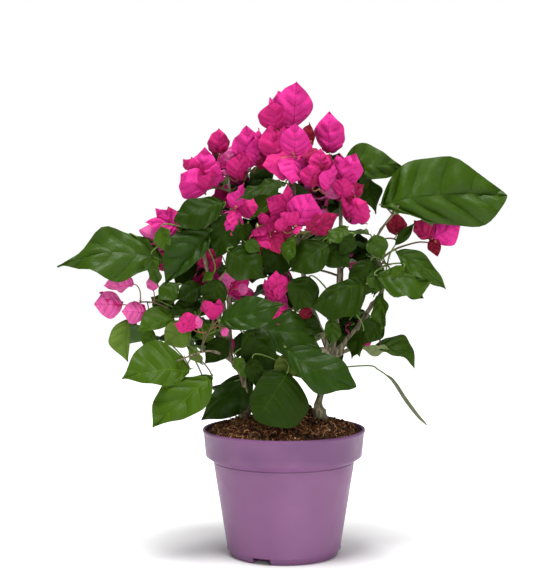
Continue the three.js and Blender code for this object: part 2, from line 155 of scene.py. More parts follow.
# Places are hundredths of a mass's box: across from the left, up from the bottom, deep from the front.
# Leaves: base, tip, half width / length, look, fold, bend, green, and what sets that leaf apart.
# uneven: widths to the left and right of the midrib. sweep: the midrib's bow. skew: the left half's lead.
LEAVES = {
    "leaf_top_dark": [((97, 72, 60), (6, 10, 20), 0.24, "up", -0.15, 0.05, "dark")],
    "leaf_right_sail": [
        ((0, 34, 50), (100, 47, 30), 0.335, "front", -0.35, 0.03, "mid",
         dict(kind="broad", uneven=(0.96, 0.8), sweep=0.05, skew=-0.14, puff=0.045)),
    ],
    "leaf_right_top": [
        ((10, 38, 40), (100, 36, 40), 0.36, "front", -0.3, 0.05, "mid",
         dict(uneven=(1.02, 0.7), sweep=0.02, skew=-0.12, wave=0.015)),
        ((36, 16, 70), (60, -90, 60), 0.34, "right", 0.15, 0.05, "dark"),
    ],
    "leaf_far_left": [
        ((98, 37, 50), (1, 22, 30), 0.29, "mild", -0.2, 0.03, "mid",
         dict(kind="long", uneven=(0.96, 0.9), sweep=-0.09, puff=0.03)),
    ],
    "leaf_left_upper": [
        ((80, 62, 30), (12, 2, 10), 0.36, "front", 0.15, 0.05, "glossy",
         dict(uneven=(0.42, 1), skew=-0.06, puff=0.036)),
        ((100, 94, 40), (25, 73, 10), 0.34, "mild", -0.35, 0.08, "dark",
         dict(kind="broad", uneven=(1, 0.9))),
        ((112, 82, 70), (88, 30, 50), 0.34, "front", 0.2, 0.05, "dark"),
        ((6, 67, 25), (17, 38, 10), 0.46, "left", 0.2, 0.04, "bright"),
        ((84, 15, 50), (66, 4, 40), 0.42, "up", 0.1, 0.04, "bright"),
        ((-10, 36, 50), (3, -2, 40), 0.3, "left", 0.1, 0.05, "mid"),
    ],
    "leaf_mid_left": [
        ((15, 90, 40), (79, 26, 30), 0.46, "mild", -0.15, 0.06, "dark"),
        ((45, 112, 60), (72, 88, 60), 0.4, "front", 0.2, 0.05, "mid"),
        ((50, 156, 80), (38, 102, 60), 0.42, "right", 0.2, 0.05, "dark"),
        ((0, 20, 80), (-22, -50, 70), 0.42, "front", 0.1, 0.05, "dark"),
        ((118, 96, 140), (80, 34, 130), 0.52, "front", 0.1, 0.05, "dark"),
    ],
    "leaf_mid_right": [
        ((60, 66, 40), (5, 6, 20), 0.4, "mild", -0.1, 0.06, "dark", dict(kind="broad")),
        ((10, 80, 30), (0, 20, 15), 0.46, "left", 0.2, 0.05, "mid", dict(uneven=(0.6, 1))),
        ((85, 98, 50), (55, 66, 30), 0.4, "up", -0.1, 0.05, "mid"),
        ((50, 60, 70), (90, 12, 60), 0.4, "mild", -0.1, 0.05, "dark"),
        ((95, 80, 70), (72, 40, 60), 0.4, "right", 0.1, 0.05, "dark"),
    ],
    "leaf_centre_right": [
        ((102, 78, 50), (10, 36, 10), 0.42, "mild", -0.25, 0.08, "dark",
         dict(uneven=(1.1, 0.36), sweep=-0.04, skew=0.08, puff=0.028)),
        ((98, -10, 70), (78, -62, 60), 0.36, "left", 0.1, 0.05, "dark"),
        ((10, 90, 60), (-12, 26, 40), 0.44, "front", 0.1, 0.04, "dark"),
        ((45, 16, 60), (46, -40, 50), 0.38, "right", 0.2, 0.04, "mid"),
    ],
    "leaf_front": [
        ((4, 28, 40), (102, 74, 10), 0.26, "mild", -0.2, 0.06, "glossy", dict(sweep=-0.02, puff=0.028)),
    ],
    "leaf_low_centre": [
        ((10, 72, 60), (52, 10, 40), 0.42, "left", 0.15, 0.06, "dark"),
        ((20, 84, 50), (98, 34, 30), 0.3, "mild", -0.2, 0.1, "glossy", dict(sweep=0.06)),
        ((62, 95, 70), (98, 72, 60), 0.36, "mild", 0.1, 0.05, "dark"),
        ((0, 30, 60), (20, -6, 40), 0.3, "left", 0.2, 0.05, "bright"),
        ((62, 12, 80), (80, -8, 70), 0.3, "down", 0.2, 0.05, "olive"),
    ],
    "leaf_front_right": [
        ((2, 88, 50), (99, 2, 20), 0.29, "mild", -0.25, 0.08, "glossy",
         dict(kind="broad", uneven=(1, 0.8), sweep=-0.09, puff=0.024)),
    ],
    "leaf_front_low": [
        ((66, 88, 60), (17, 2, 20), 0.6, "front", -0.15, 0.08, "dark",
         dict(kind="round", uneven=(1.14, 0.6), skew=0.02, puff=0.024)),
        ((74, 120, 90), (52, 70, 80), 0.4, "front", 0.1, 0.05, "olive"),
        ((10, 115, 90), (16, 60, 80), 0.3, "front", 0.1, 0.05, "dark"),
    ],
    "leaf_low_left_back": [
        ((93, 93, 50), (-2, -6, 50), 0.33, "front", 0.1, 0.02, "glossy", dict(uneven=(1, 0.6))),
    ],
    "leaf_left_low": [
        ((103, 86, 50), (2, -1, 20), 0.345, "mild", -0.15, 0.04, "bright",
         dict(kind="heart", uneven=(0.74, 1), skew=-0.1, puff=0.032)),
    ],
    "leaf_left_low_upper": [
        ((90, 29, 50), (-1, 14, 20), 0.52, "mild", -0.15, 0.06, "bright",
         dict(uneven=(0.5, 1), sweep=-0.03, skew=-0.06, puff=0.034)),
    ],
    "leaf_left_mid": [
        ((60, 51, 40), (0, 28, 10), 0.44, "mild", -0.1, 0.05, "bright", dict(uneven=(0.4, 1))),
        ((81, 36, 40), (42, 8, 20), 0.47, "front", 0.1, 0.03, "pale"),
        ((22, 30, 60), (10, 2, 60), 0.42, "front", 0.1, 0.05, "bright"),
        ((100, 72, 50), (50, 56, 30), 0.3, "mild", 0.1, 0.05, "dark"),
        ((64, 100, 50), (32, 75, 30), 0.4, "mild", -0.1, 0.05, "mid"),
        ((102, 96, 50), (62, 76, 30), 0.4, "mild", 0.1, 0.05, "dark"),
        ((122, 30, 50), (90, 20, 40), 0.44, "front", 0.1, 0.05, "bright"),
        ((82, 6, 50), (104, -24, 40), 0.3, "left", 0.2, 0.05, "pale"),
        ((141, 16, 50), (106, -22, 40), 0.36, "mild", -0.2, 0.05, "dark"),
        ((164, 26, 50), (156, -15, 40), 0.36, "right", 0.2, 0.05, "dark"),
    ],
    "leaf_left_hang": [
        ((66, 86, 50), (68, 10, 40), 0.4, "front", 0.3, 0.1, "pale", dict(uneven=(0.22, 1), sweep=-0.04)),
    ],
    "leaf_right_mid": [
        ((32, 86, 50), (102, 17, 30), 0.27, "mild", -0.2, 0.06, "mid",
         dict(uneven=(0.88, 0.66), puff=0.03)),
        ((3, 42, 30), (82, 32, 10), 0.43, "mild", -0.1, 0.05, "mid", dict(uneven=(0.4, 1), skew=-0.14)),
        ((45, 20, 80), (72, -2, 70), 0.35, "front", 0.1, 0.05, "dark"),
        ((42, 58, 20), (24, 36, 10), 0.5, "down", 0.1, 0.05, "bright", dict(kind="round")),
        ((0, 115, 50), (10, 72, 40), 0.46, "front", -0.3, 0.05, "mid"),
        ((-4, 70, 60), (-26, -5, 50), 0.38, "front", -0.2, 0.05, "dark"),
        ((12, 10, 50), (12, -66, 50), 0.26, "left", 0.2, 0.05, "mid"),
        ((30, 96, 60), (60, 140, 70), 0.17, "front", 0.2, 0.05, "dark", dict(kind="long")),
        ((10, 52, 60), (-3, 6, 50), 0.4, "front", 0.1, 0.05, "mid"),
    ],
    "leaf_right_low": [
        ((24, 52, 50), (93, -14, 30), 0.38, "mild", -0.1, 0.06, "mid",
         dict(uneven=(1.1, 0.3), sweep=0.14, skew=0.1)),
        ((50, 44, 50), (2, 50, 30), 0.26, "down", 0.1, 0.05, "silver"),
        ((33, 144, 40), (8, 62, 30), 0.42, "front", 0.15, 0.05, "dark"),
    ],
}

# Blossom: the base of one or more bracts, then each bract's tip, half width / length, look and pink, whose
# lighter or darker slot paints light or shade on it.
BLOSSOM = {
    "bloom_top": [
        ((56, 12, 50), ((63, 99, 25), 0.42, "front", "bright"), ((30, 82, 40), 0.46, "front", "bright")),
        ((28, 8, 40), ((18, 60, 15), 0.54, "front", "mid")),
    ],
    "bloom_top_right": [
        ((42, 12, 50), ((42, 95, 30), 0.38, "front", "bright"), ((80, 72, 90), 0.36, "right", "deep"),
         ((16, 34, 70), 0.36, "left", "mid")),
    ],
    "bloom_mid_top": [
        ((53, 44, 30), ((53, 100, 15), 0.44, "front", "bright"), ((2, 30, 20), 0.5, "left", "mid"),
         ((49, 0, 2), 0.5, "front", "bright")),
        ((68, 55, 90), ((78, 102, 90), 0.36, "right", "crimson"), ((95, 30, 60), 0.42, "right", "deep")),
        ((25, 40, 80), ((14, 100, 80), 0.42, "front", "mid"), ((34, 102, 90), 0.4, "front", "mid")),
    ],
    "bloom_left_top": [
        ((44, 8, 50), ((33, 103, 20), 0.38, "front", "bright"), ((5, 50, 40), 0.36, "left", "mid")),
        ((62, 10, 60), ((70, 97, 40), 0.34, "right", "bright"), ((102, 42, 90), 0.42, "right", "deep")),
    ],
    "bloom_left_crest": [
        ((33, 52, 60), ((35, 96, 40), 0.42, "front", "mid"), ((10, 75, 80), 0.36, "left", "deep"),
         ((50, 86, 80), 0.36, "right", "deep")),
        ((66, 18, 40), ((61, 62, 20), 0.44, "front", "pale"), ((40, 20, 30), 0.34, "left", "pale")),
        ((80, 5, 30), ((86, 52, 5), 0.42, "front", "mid"), ((98, 20, 40), 0.4, "right", "deep")),
    ],
    "bloom_left_shoulder": [
        ((62, 12, 40), ((6, 50, 5), 0.5, "mild", "bright"), ((80, 55, 10), 0.42, "right", "mid")),
        ((50, 40, 70), ((10, 80, 50), 0.4, "left", "mid"), ((60, 104, 80), 0.42, "front", "bright"),
         ((28, 85, 60), 0.26, "front", "bright")),
    ],
    "bloom_right": [
        ((50, 50, 50), ((50, 102, 50), 0.46, "front", "mid"), ((80, 90, 90), 0.36, "right", "deep")),
        ((30, 20, 20), ((22, 70, 5), 0.48, "front", "mid"), ((48, 52, 10), 0.42, "right", "deep")),
        ((65, 12, 20), ((84, 68, 0), 0.36, "right", "bright"), ((50, 50, 30), 0.3, "left", "mid")),
    ],
    "bloom_right_shoulder": [
        ((40, 46, 40), ((22, 85, 20), 0.38, "left", "bright"), ((68, 88, 20), 0.38, "front", "bright")),
        ((34, 26, 30), ((40, 55, 5), 0.46, "front", "mid"), ((90, 44, 70), 0.3, "right", "deep")),
        ((54, -2, 40), ((94, 22, 5), 0.5, "front", "mid"), ((32, 29, 20), 0.36, "left", "mid"),
         ((62, 34, 50), 0.36, "front", "deep")),
    ],
    "bloom_heart": [
        ((50, 12, 30), ((76, 82, 5), 0.5, "front", "bright"), ((23, 40, 10), 0.5, "left", "mid"),
         ((53, -4, 0), 0.4, "front", "mid")),
        ((70, 0, 40), ((88, 40, 10), 0.48, "right", "deep"), ((122, 36, 50), 0.32, "right", "deep")),
        ((38, 45, 60), ((36, 102, 50), 0.22, "front", "mid"), ((0, 70, 40), 0.42, "left", "mid")),
        ((29, 0, 40), ((27, 34, 20), 0.5, "front", "mid"), ((5, 20, 40), 0.4, "left", "deep")),
    ],
    "bloom_left_inner": [
        ((38, 46, 30), ((48, 82, 10), 0.42, "front", "bright"), ((33, -2, 10), 0.42, "front", "bright"),
         ((46, 6, 15), 0.4, "right", "mid")),
        ((38, 50, 60), ((58, 94, 30), 0.25, "left", "bright"), ((90, 50, 30), 0.45, "right", "mid"),
         ((15, 66, 50), 0.4, "left", "deep")),
    ],
    "bloom_low": [
        ((42, 70, 50), ((36, 98, 40), 0.45, "front", "mid"), ((10, 42, 10), 0.5, "left", "mid")),
        ((54, 56, 40), ((44, 22, 0), 0.5, "front", "mid"), ((76, 10, 10), 0.4, "front", "deep"),
         ((66, 90, 40), 0.4, "front", "mid")),
        ((85, 40, 60), ((98, 74, 50), 0.4, "right", "deep"), ((95, 10, 50), 0.36, "front", "deep")),
    ],
    "bloom_left_edge": [
        ((90, 50, 50), ((34, 90, 30), 0.3, "front", "bright"), ((10, 64, 10), 0.34, "mild", "bright"),
         ((66, 94, 60), 0.34, "front", "mid")),
        ((60, 2, 60), ((38, 50, 50), 0.34, "left", "bright"), ((24, 36, 70), 0.3, "left", "deep")),
    ],
    "bloom_far_left": [
        ((70, 68, 80), ((14, 66, 60), 0.42, "down", "pale")),
        ((50, 30, 50), ((-2, 32, 20), 0.48, "front", "pale"), ((6, 54, 60), 0.32, "up", "mid")),
        ((92, 14, 50), ((50, 18, 20), 0.48, "front", "pale"), ((70, 36, 70), 0.34, "up", "mid")),
        ((108, 56, 60), ((100, 82, 50), 0.48, "front", "pale")),
    ],
    "bloom_right_pair": [
        ((38, 44, 50), ((0, 88, 60), 0.42, "left", "deep"), ((98, 82, 20), 0.44, "front", "bright"),
         ((50, 0, 30), 0.34, "front", "crimson")),
    ],
    "bloom_right_red": [
        ((63, 14, 50), ((60, 88, 30), 0.46, "front", "crimson"), ((30, 62, 20), 0.3, "left", "crimson")),
    ],
    "bloom_low_left": [
        ((69, 38, 40), ((56, 88, 10), 0.46, "left", "mid"), ((80, 90, 20), 0.44, "right", "mid")),
        ((36, 14, 40), ((20, 57, 10), 0.4, "front", "mid"), ((4, 32, 20), 0.34, "left", "mid")),
        ((43, 16, 40), ((43, 50, 30), 0.32, "front", "pale")),
        ((84, 18, 40), ((92, 0, 30), 0.48, "front", "pale")),
    ],
    "bloom_low_mid": [
        ((50, 46, 50), ((50, 94, 20), 0.4, "front", "mid"), ((84, 86, 50), 0.36, "right", "mid"),
         ((10, 80, 50), 0.32, "left", "deep")),
        ((58, 42, 60), ((54, 4, 40), 0.4, "front", "mid")),
        ((150, 15, 60), ((144, 40, 60), 0.42, "front", "crimson")),
    ],
    "bloom_mid_left": [
        ((33, 30, 50), ((24, 92, 20), 0.42, "front", "pale"), ((54, 78, 50), 0.36, "right", "deep")),
        ((60, 30, 50), ((94, 32, 30), 0.44, "front", "pale")),
        ((12, 142, 120), ((-62, 112, 110), 0.42, "front", "deep"),
         ((30, 180, 110), 0.36, "right", "deep")),
    ],
}

# How many leaves and trios of bracts fill each mass behind those that are placed.
BACK_FILL = {
    "back_left_low": (18, 1), "back_left_high": (22, 3), "back_left_crown": (18, 6), "back_centre": (26, 2),
    "back_right_crown": (18, 6), "back_right_high": (22, 3), "back_right_low": (16, 1),
}

# Small leaves stand no further forward than this: behind a leading mass, and elsewhere.
BEHIND = 10
FOREMOST = -60

# The shortest and the longest of the small leaves and of the small bracts.
FILL_LEAF = (36, 60)
FILL_BRACT = (30, 38)

# The points along a twig.
TWIG_STEPS = 12

# The edge-on leaf, from its petiole to its tip: hundredths of its mass's box across and up.
ARCH = [(2, 84), (37, 87), (47, 81), (57, 71), (64, 59), (75, 35), (88, 12), (98, 0)]

# Gaps of the crown that the front shows open: middle and half size across and up, on the plane y = 0.
SKY = [
    (-71, 324, 8, 5), (-41, 359, 3, 5), (-27, 407, 5, 7), (-27, 317, 6, 3), (-22, 303, 3, 5),
    (-30, 284, 18, 6), (38, 296, 13, 6), (58, 293, 11, 8), (70, 297, 4, 10), (35, 240, 7, 18),
    (-58, 234, 4, 5), (116, 350, 19, 20), (134, 322, 20, 9), (108, 305, 7, 5), (-98, 250, 6, 6),
    (34, 304, 22, 10), (24, 240, 7, 8), (-74, 196, 17, 13), (-109, 228, 8, 11), (-37, 408, 6, 6),
    (50, 481, 12, 12), (82, 448, 24, 14), (53, 450, 11, 7), (-164, 356, 26, 9), (-172, 286, 24, 8),
    (-163, 264, 5, 6), (-133, 371, 9, 11), (222, 352, 14, 12), (112, 262, 26, 13), (-8, 490, 6, 9),
    (68, 462, 10, 8), (-52, 446, 9, 7), (110, 433, 20, 10), (-200, 352, 26, 10), (-178, 246, 10, 12),
    (-155, 232, 5, 12), (-88, 212, 8, 12), (214, 400, 10, 8), (-120, 418, 12, 14), (-62, 448, 14, 8),
    (-50, 449, 12, 7), (-40, 456, 8, 5), (-195, 350, 12, 10), (-215, 339, 12, 8), (118, 241, 20, 8),
    (172, 321, 16, 9), (106, 209, 16, 8),
]

# ---------------------------------------------------------------- vectors, paths and noise

def unit(v):
    return v / np.linalg.norm(v, axis=-1, keepdims=True)


def lerp(a, b, t):
    return a + (b - a) * t


def vector(*numbers):
    return np.array(numbers, float)


def turns(count):
    """Angles in equal steps once round."""
    return np.arange(count) / count * 2 * math.pi


def toward(angle):
    """The level direction at an angle."""
    return vector(math.cos(angle), math.sin(angle), 0)


def rumple(points, size, seed):
    """Smooth noise of about -1 to 1, in lumps about size across."""
    draw = np.random.default_rng(seed)
    total = np.zeros(points.shape[:-1])
    for _ in range(7):
        way = unit(draw.normal(size=points.shape[-1]))
        rate = 2 * math.pi / size * draw.uniform(0.6, 1.5)
        total += np.sin(points @ way * rate + draw.uniform(0, 2 * math.pi))
    return total / 2.6


def smooth(points, steps):
    """A smooth path through points, in that many steps from each to the next."""
    points = np.asarray(points, float)
    p = np.vstack([2 * points[0] - points[1], points, 2 * points[-1] - points[-2]])
    t = (np.arange(steps) / steps)[:, None]
    spans = [
        0.5 * (2 * b + (c - a) * t + (2 * a - 5 * b + 4 * c - d) * t**2 + (3 * b - a - 3 * c + d) * t**3)
        for a, b, c, d in zip(p, p[1:], p[2:], p[3:])
    ]
    return np.vstack(spans + [points[-1:]])


def arc(start, end, rise, steps):
    """A path from start to end that rises by a share of its length in the middle."""
    t = np.linspace(0, 1, steps)[:, None]
    lift = vector(0, 0, rise * np.linalg.norm(end - start))
    return lerp(start, end, t) + lift * 4 * t * (1 - t)


def carried(ways):
    """A direction across each step of a path, turning as little as it can."""
    across = [unit(np.cross(ways[0], (0.31, 0.17, 0.93)))]
    for way in ways[1:]:
        across.append(unit(across[-1] - way * (across[-1] @ way)))
    return np.array(across)


# ---------------------------------------------------------------- joined meshes

def stand(name, data):
    """A new object in the scene."""
    made = bpy.data.objects.new(name, data)
    bpy.context.collection.objects.link(made)
    return made


class Heap:
    """The four-sided faces of many small things, to be joined into one mesh."""

    def __init__(self):
        self.points, self.quads, self.tones, self.rims = [], [], [], []
        self.count = 0

    def add(self, points, quads, tones, rim=None):
        """Adds points and quads of them. tones are the quads' material slots, rim marks rim points."""
        self.points.append(points)
        self.quads.append(quads + self.count)
        self.tones.append(np.broadcast_to(tones, len(quads)))
        self.rims.append(np.zeros(len(points), bool) if rim is None else rim)
        self.count += len(points)

    def make(self, name, materials):
        """The mesh object. An edge between two rim points stays sharp."""
        points, quads = np.vstack(self.points) * MM, np.vstack(self.quads)
        mesh = bpy.data.meshes.new(name)
        mesh.vertices.add(len(points))
        mesh.vertices.foreach_set("co", points.ravel())
        mesh.loops.add(quads.size)
        mesh.loops.foreach_set("vertex_index", quads.ravel())
        mesh.polygons.add(len(quads))
        mesh.polygons.foreach_set("loop_start", np.arange(0, quads.size, 4))
        mesh.polygons.foreach_set("material_index", np.concatenate(self.tones).astype(np.int32))
        mesh.update(calc_edges=True)
        ends = np.empty(len(mesh.edges) * 2, np.int32)
        mesh.edges.foreach_get("vertices", ends)
        sharp = mesh.attributes.new("sharp_edge", "BOOLEAN", "EDGE")
        sharp.data.foreach_set("value", np.concatenate(self.rims)[ends].reshape(-1, 2).all(1))
        for material in materials:
            mesh.materials.append(material)
        return stand(name, mesh)


def lattice(rows, columns):
    """The quads of a grid of points, row by row."""
    at = np.arange(rows * columns).reshape(rows, columns)
    return np.stack([at[:-1, :-1], at[1:, :-1], at[1:, 1:], at[:-1, 1:]], -1).reshape(-1, 4)


def belt(rings):
    """The quads between rings of point numbers, from each ring to the next."""
    beside = np.roll(rings, -1, 1)
    return np.stack([rings[:-1], beside[:-1], beside[1:], rings[1:]], -1).reshape(-1, 4)


def capped(rings, sides):
    """The quads of a solid whose points stand in rings. An odd ring leaves a sliver of its cap open."""
    at = np.arange(rings * sides).reshape(rings, sides)
    fan = np.array([(0, k, k + 1, k + 2) for k in range(1, sides - 2, 2)])
    return np.vstack([belt(at), at[-1][fan], at[0][fan[:, FLIPPED]]])


def tube(heap, path, radii, sides=6, tone=0, relief=0):
    """A round limb along path. relief is the extra radius of each ring's points."""
    path = np.asarray(path, float)
    ways = unit(np.gradient(path, axis=0))
    across = carried(ways)
    upward = np.cross(ways, across)
    turn = turns(sides)[:, None]
    ring = across[:, None] * np.cos(turn) + upward[:, None] * np.sin(turn)
    reach = np.asarray(radii, float)[:, None] + relief
    points = path[:, None] + ring * reach[..., None]
    heap.add(points.reshape(-1, 3), capped(len(path), sides), tone)


def slab(heap, top, under, tone):
    """A closed sheet between two grids of points."""
    rows, columns = top.shape[:2]
    count = rows * columns
    quads = lattice(rows, columns)
    at = np.arange(count).reshape(rows, columns)
    edges = []
    for line, flip in ((at[:, 0], False), (at[:, -1], True), (at[0], True), (at[-1], False)):
        strip = np.stack([line[:-1], line[:-1] + count, line[1:] + count, line[1:]], -1)
        edges.append(strip[:, ::-1] if flip else strip)
    faces = np.vstack([quads[:, ::-1], quads + count] + edges)
    heap.add(np.concatenate([top, under]).reshape(-1, 3), faces, tone)


def finish(piece, nodes=()):
    """Says what a piece rides on and the CAD nodes whose place it takes."""
    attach(piece, "root")
    if nodes:
        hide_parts(*nodes)


# ---------------------------------------------------------------- blades

# The midrib's width at its base as a share of the blade's, and the thickness of a blade at its midrib.
RIB = 0.03
THICKNESS = 0.35


def blade_rows(veins, between):
    """How far along the edge each row meets it, and -1 or 1 for the two rows of a side vein, else 0."""
    rows = [(0.0, 0)]
    for k in range(1, veins + 2):
        rows += [((k - 1 + j / (between + 1)) / (veins + 1), 0) for j in range(1, between + 1)]
        rows += [(k / (veins + 1), -1), (k / (veins + 1), 1)] if k <= veins else [(1.0, 0)]
    return np.array(rows).T


def blade_width(edge, shoulder, taper, drip):
    """The width at shares of the length, 1 at the widest. drip narrows the tip."""
    peak = shoulder / (shoulder + taper)
    wide = edge**shoulder * (1 - edge) ** taper / (peak**shoulder * (1 - peak) ** taper)
    return np.maximum(wide * (1 - drip * np.exp(-(((1 - edge) / 0.2) ** 2))), 0.02)


def blade_plan(veins, between, columns, shoulder, taper, drip=0.5, lean=2.0, vein=0.006):
    """A flat blade 1 long and 1 to each side: its rows follow the side veins, its columns the midrib."""
    share, nudge = blade_rows(veins, between)
    edge = (0.5 - 0.5 * np.cos(math.pi * share))[:, None]
    wide = blade_width(edge, shoulder, taper, drip)
    steps = np.linspace(0, 1, columns + 1)
    out = np.concatenate([steps[::-1], steps])[None]
    side = np.repeat([-1, 1], columns + 1)[None]
    rib = np.minimum(RIB * (1 - 0.85 * edge), wide * 0.4)
    reach = side * (rib + out * (wide - rib))
    # Each row leaves the midrib at root and meets the edge at edge. Those of a vein stand a little apart.
    root = edge**lean
    spread = vein * np.minimum(1, edge * 6) * np.minimum(1, (1 - edge) * 6)
    along = root + (edge - root) * out**1.25 + nudge[:, None] * spread * (1 - 0.8 * out)
    # Veins and midrib lie in grooves, and the flesh between them is puffed up.
    is_vein = (nudge != 0)[:, None]
    groove = np.maximum(is_vein * np.sqrt(1 - out), out == 0)
    puff = np.where(is_vein, 0, np.sin(math.pi * out) ** 0.7) * (edge * (1 - edge) * 4) ** 0.5
    rim = np.broadcast_to(out == 1, reach.shape).copy()
    rim[[0, -1]] = True
    # strip marks the faces along the veins and the midrib.
    strip = np.repeat(((nudge[:-1] == -1) & (nudge[1:] == 1))[:, None], reach.shape[1] - 1, 1)
    strip[:, columns] = True
    return SimpleNamespace(along=along, reach=reach, out=out + 0 * reach, side=side + 0 * reach,
                           groove=groove, puff=puff, rim=rim, strip=strip.ravel(), shape=reach.shape)


OUTLINES = {
    "egg": dict(shoulder=0.72, taper=0.95), "long": dict(shoulder=1.0, taper=1.4, drip=0.6),
    "broad": dict(shoulder=0.85, taper=0.7, drip=0.35), "round": dict(shoulder=0.5, taper=0.5, drip=0.2),
    "heart": dict(shoulder=0.8, taper=0.85, drip=0.6),
}
LEAF = {kind: blade_plan(veins=7, between=2, columns=5, **outline) for kind, outline in OUTLINES.items()}
FAR_LEAF = blade_plan(veins=5, between=1, columns=3, **OUTLINES["egg"])
PAPERY = dict(shoulder=0.62, taper=0.82, drip=0.45, lean=1.9)
BRACT = blade_plan(veins=7, between=2, columns=6, vein=0.008, **PAPERY)
FAR_BRACT = blade_plan(veins=5, between=1, columns=3, **PAPERY)


def blade_shape(plan, length, half, seed, fold=0.0, bend=0.0, cup=0.0, wave=0.05, puff=0.026,
                crumple=(0.024, 1.0), twist=0.0, uneven=(1, 1), sweep=0.0, skew=0.0):
    """How far each point of a blade lies along, across and above the line from its base to its tip."""
    draw = np.random.default_rng(seed)
    out, right = plan.out, plan.side > 0
    x = plan.along + skew * plan.side * out * 4 * plan.along * (1 - plan.along)
    phase = draw.uniform(0, 1, 4)
    notch = 1 + 0.04 * np.sin(2 * math.pi * (x * draw.uniform(1.2, 2.4) + np.where(right, *phase[2:])))
    y = plan.reach * half * length * notch * np.where(right, *uneven)
    ripple = np.sin(2 * math.pi * (x * draw.uniform(1.3, 2.3) + np.where(right, *phase[:2])))
    lie = abs(y) * (fold * (1 - 0.35 * out) + cup * out) + bend * length * 4 * x * (1 - x)
    lie += wave * length * out**2 * ripple * np.minimum(1, 5 * (1 - x))
    lie += puff * length * (plan.puff - 0.8 * plan.groove)
    flat = np.stack([x * 2.2, plan.reach], -1)
    lie += crumple[0] * length * rumple(flat, crumple[1], seed)
    turn = twist * (x - 0.4)
    y, lie = y * np.cos(turn) - lie * np.sin(turn), y * np.sin(turn) + lie * np.cos(turn)
    return x * length, y + sweep * length * 4 * x * (1 - x), lie


def blade(heap, plan, base, tip, look, half, tones, seed, **shape):
    """A thin closed leaf or bract from base to tip. tones are those of its face, veins and underside."""
    x, y, lie = blade_shape(plan, np.linalg.norm(tip - base), half, seed, **shape)
    along = unit(tip - base)
    face = unit(look - along * (look @ along))
    axes = np.stack([along, np.cross(face, along), face])
    top, bottom = (base + np.stack([x, y, height], -1).reshape(-1, 3) @ axes
                   for height in (lie, lie - THICKNESS * (1 - plan.out**3)))
    inner = ~plan.rim.ravel()
    under = np.arange(plan.rim.size)
    under[inner] = plan.rim.size + np.arange(inner.sum())
    quads = lattice(*plan.shape)
    faces = np.vstack([quads, under[quads][:, FLIPPED]])
    face_tones = np.where(plan.strip, tones[1], tones[0])
    rim = np.concatenate([plan.rim.ravel(), np.zeros(inner.sum(), bool)])
    heap.add(np.vstack([top, bottom[inner]]), faces,
             np.concatenate([face_tones, np.full(len(quads), tones[2])]), rim)


# ---------------------------------------------------------------- materials

def paint(code):
    """The linear colour of an sRGB hex code."""
    channels = [int(code[k:k + 2], 16) / 255 for k in (1, 3, 5)]
    return tuple(c / 12.92 if c < 0.04045 else ((c + 0.055) / 1.055) ** 2.4 for c in channels) + (1.0,)


class Paint:
    """A material's node tree round one Principled shader."""

    def __init__(self, name, colour, roughness, **fixed):
        self.material = bpy.data.materials.new(name)
        self.material.use_nodes = True
        self.tree = self.material.node_tree
        self.shader = self.tree.nodes["Principled BSDF"]
        self.shader.inputs["Base Color"].default_value = paint(colour)
        self.shader.inputs["Roughness"].default_value = roughness
        for socket, value in fixed.items():
            self.shader.inputs[socket.replace("_", " ")].default_value = value
        self.place = self.tree.nodes.new("ShaderNodeTexCoord").outputs["Object"]

    def node(self, kind, inputs=None, **settings):
        made = self.tree.nodes.new("ShaderNode" + kind)
        for key, value in settings.items():
            setattr(made, key, value)
        for key, value in (inputs or {}).items():
            if isinstance(value, bpy.types.NodeSocket):
                self.tree.links.new(value, made.inputs[key])
            else:
                made.inputs[key].default_value = value
        return made

    def noise(self, scale, detail=3.0, stretch=None):
        """Noise of that many lumps to the metre, drawn out along an axis if stretch is given."""
        place = self.place
        if stretch:
            place = self.node("Mapping", {"Vector": place, "Scale": stretch}).outputs[0]
        return self.node("TexNoise", {"Vector": place, "Scale": scale, "Detail": detail}).outputs["Fac"]

    def ramp(self, value, *stops):
        """A colour for each value, from stops of a value and its colour."""
        made = self.node("ValToRGB", {"Fac": value})
        marks = made.color_ramp.elements
        while len(marks) < len(stops):
            marks.new(0.5)
        for mark, (at, code) in zip(marks, stops):
            mark.position, mark.color = at, paint(code)
        return made.outputs["Color"]

    def between(self, value, low, high, start=0.3, end=0.7):
        """value spread out to run from low to high where it goes from start to end."""
        spread = {"Value": value, "From Min": start, "From Max": end, "To Min": low, "To Max": high}
        return self.node("MapRange", spread).outputs["Result"]

    def drive(self, socket, value):
        self.tree.links.new(value, self.shader.inputs[socket])

    def bump(self, height, distance):
        made = self.node("Bump", {"Height": height, "Distance": distance, "Strength": 1.0})
        self.drive("Normal", made.outputs["Normal"])


def grained(name, colour, roughness, lumps, spread, grain, depth, **fixed):
    """One colour with uneven roughness and a fine grain. lumps and grain are the noises' scales."""
    made = Paint(name, colour, roughness, **fixed)
    made.drive("Roughness", made.between(made.noise(lumps), *spread))
    made.bump(made.noise(*grain), depth)
    return made.material


def leaf_paint(name, colour, gloss=0.5, shine=0.1):
    spread = (gloss - 0.07, gloss + 0.09)
    return grained(name, colour, gloss, 160, spread, (480, 4), 0.0003, Specular_IOR_Level=shine)


def bract_paint(name, colour):
    return grained(name, colour, 0.6, 220, (0.52, 0.7), (480, 5), 0.0006,
                   Specular_IOR_Level=0.15, Sheen_Weight=0.06, Sheen_Roughness=0.4)


def bark_paint(name, dark, mid, light):
    made = Paint(name, mid, 0.8, Specular_IOR_Level=0.3)
    grain = made.noise(420, 6, (1, 1, 0.22))
    made.drive("Base Color", made.ramp(grain, (0.34, dark), (0.52, mid), (0.7, light)))
    made.drive("Roughness", made.between(grain, 0.7, 0.9))
    made.bump(grain, 0.0007)
    return made.material


def twig_paint(name, colour):
    return grained(name, colour, 0.6, 500, (0.5, 0.72), (900, 4, (1, 1, 0.3)), 0.0002,
                   Specular_IOR_Level=0.3)


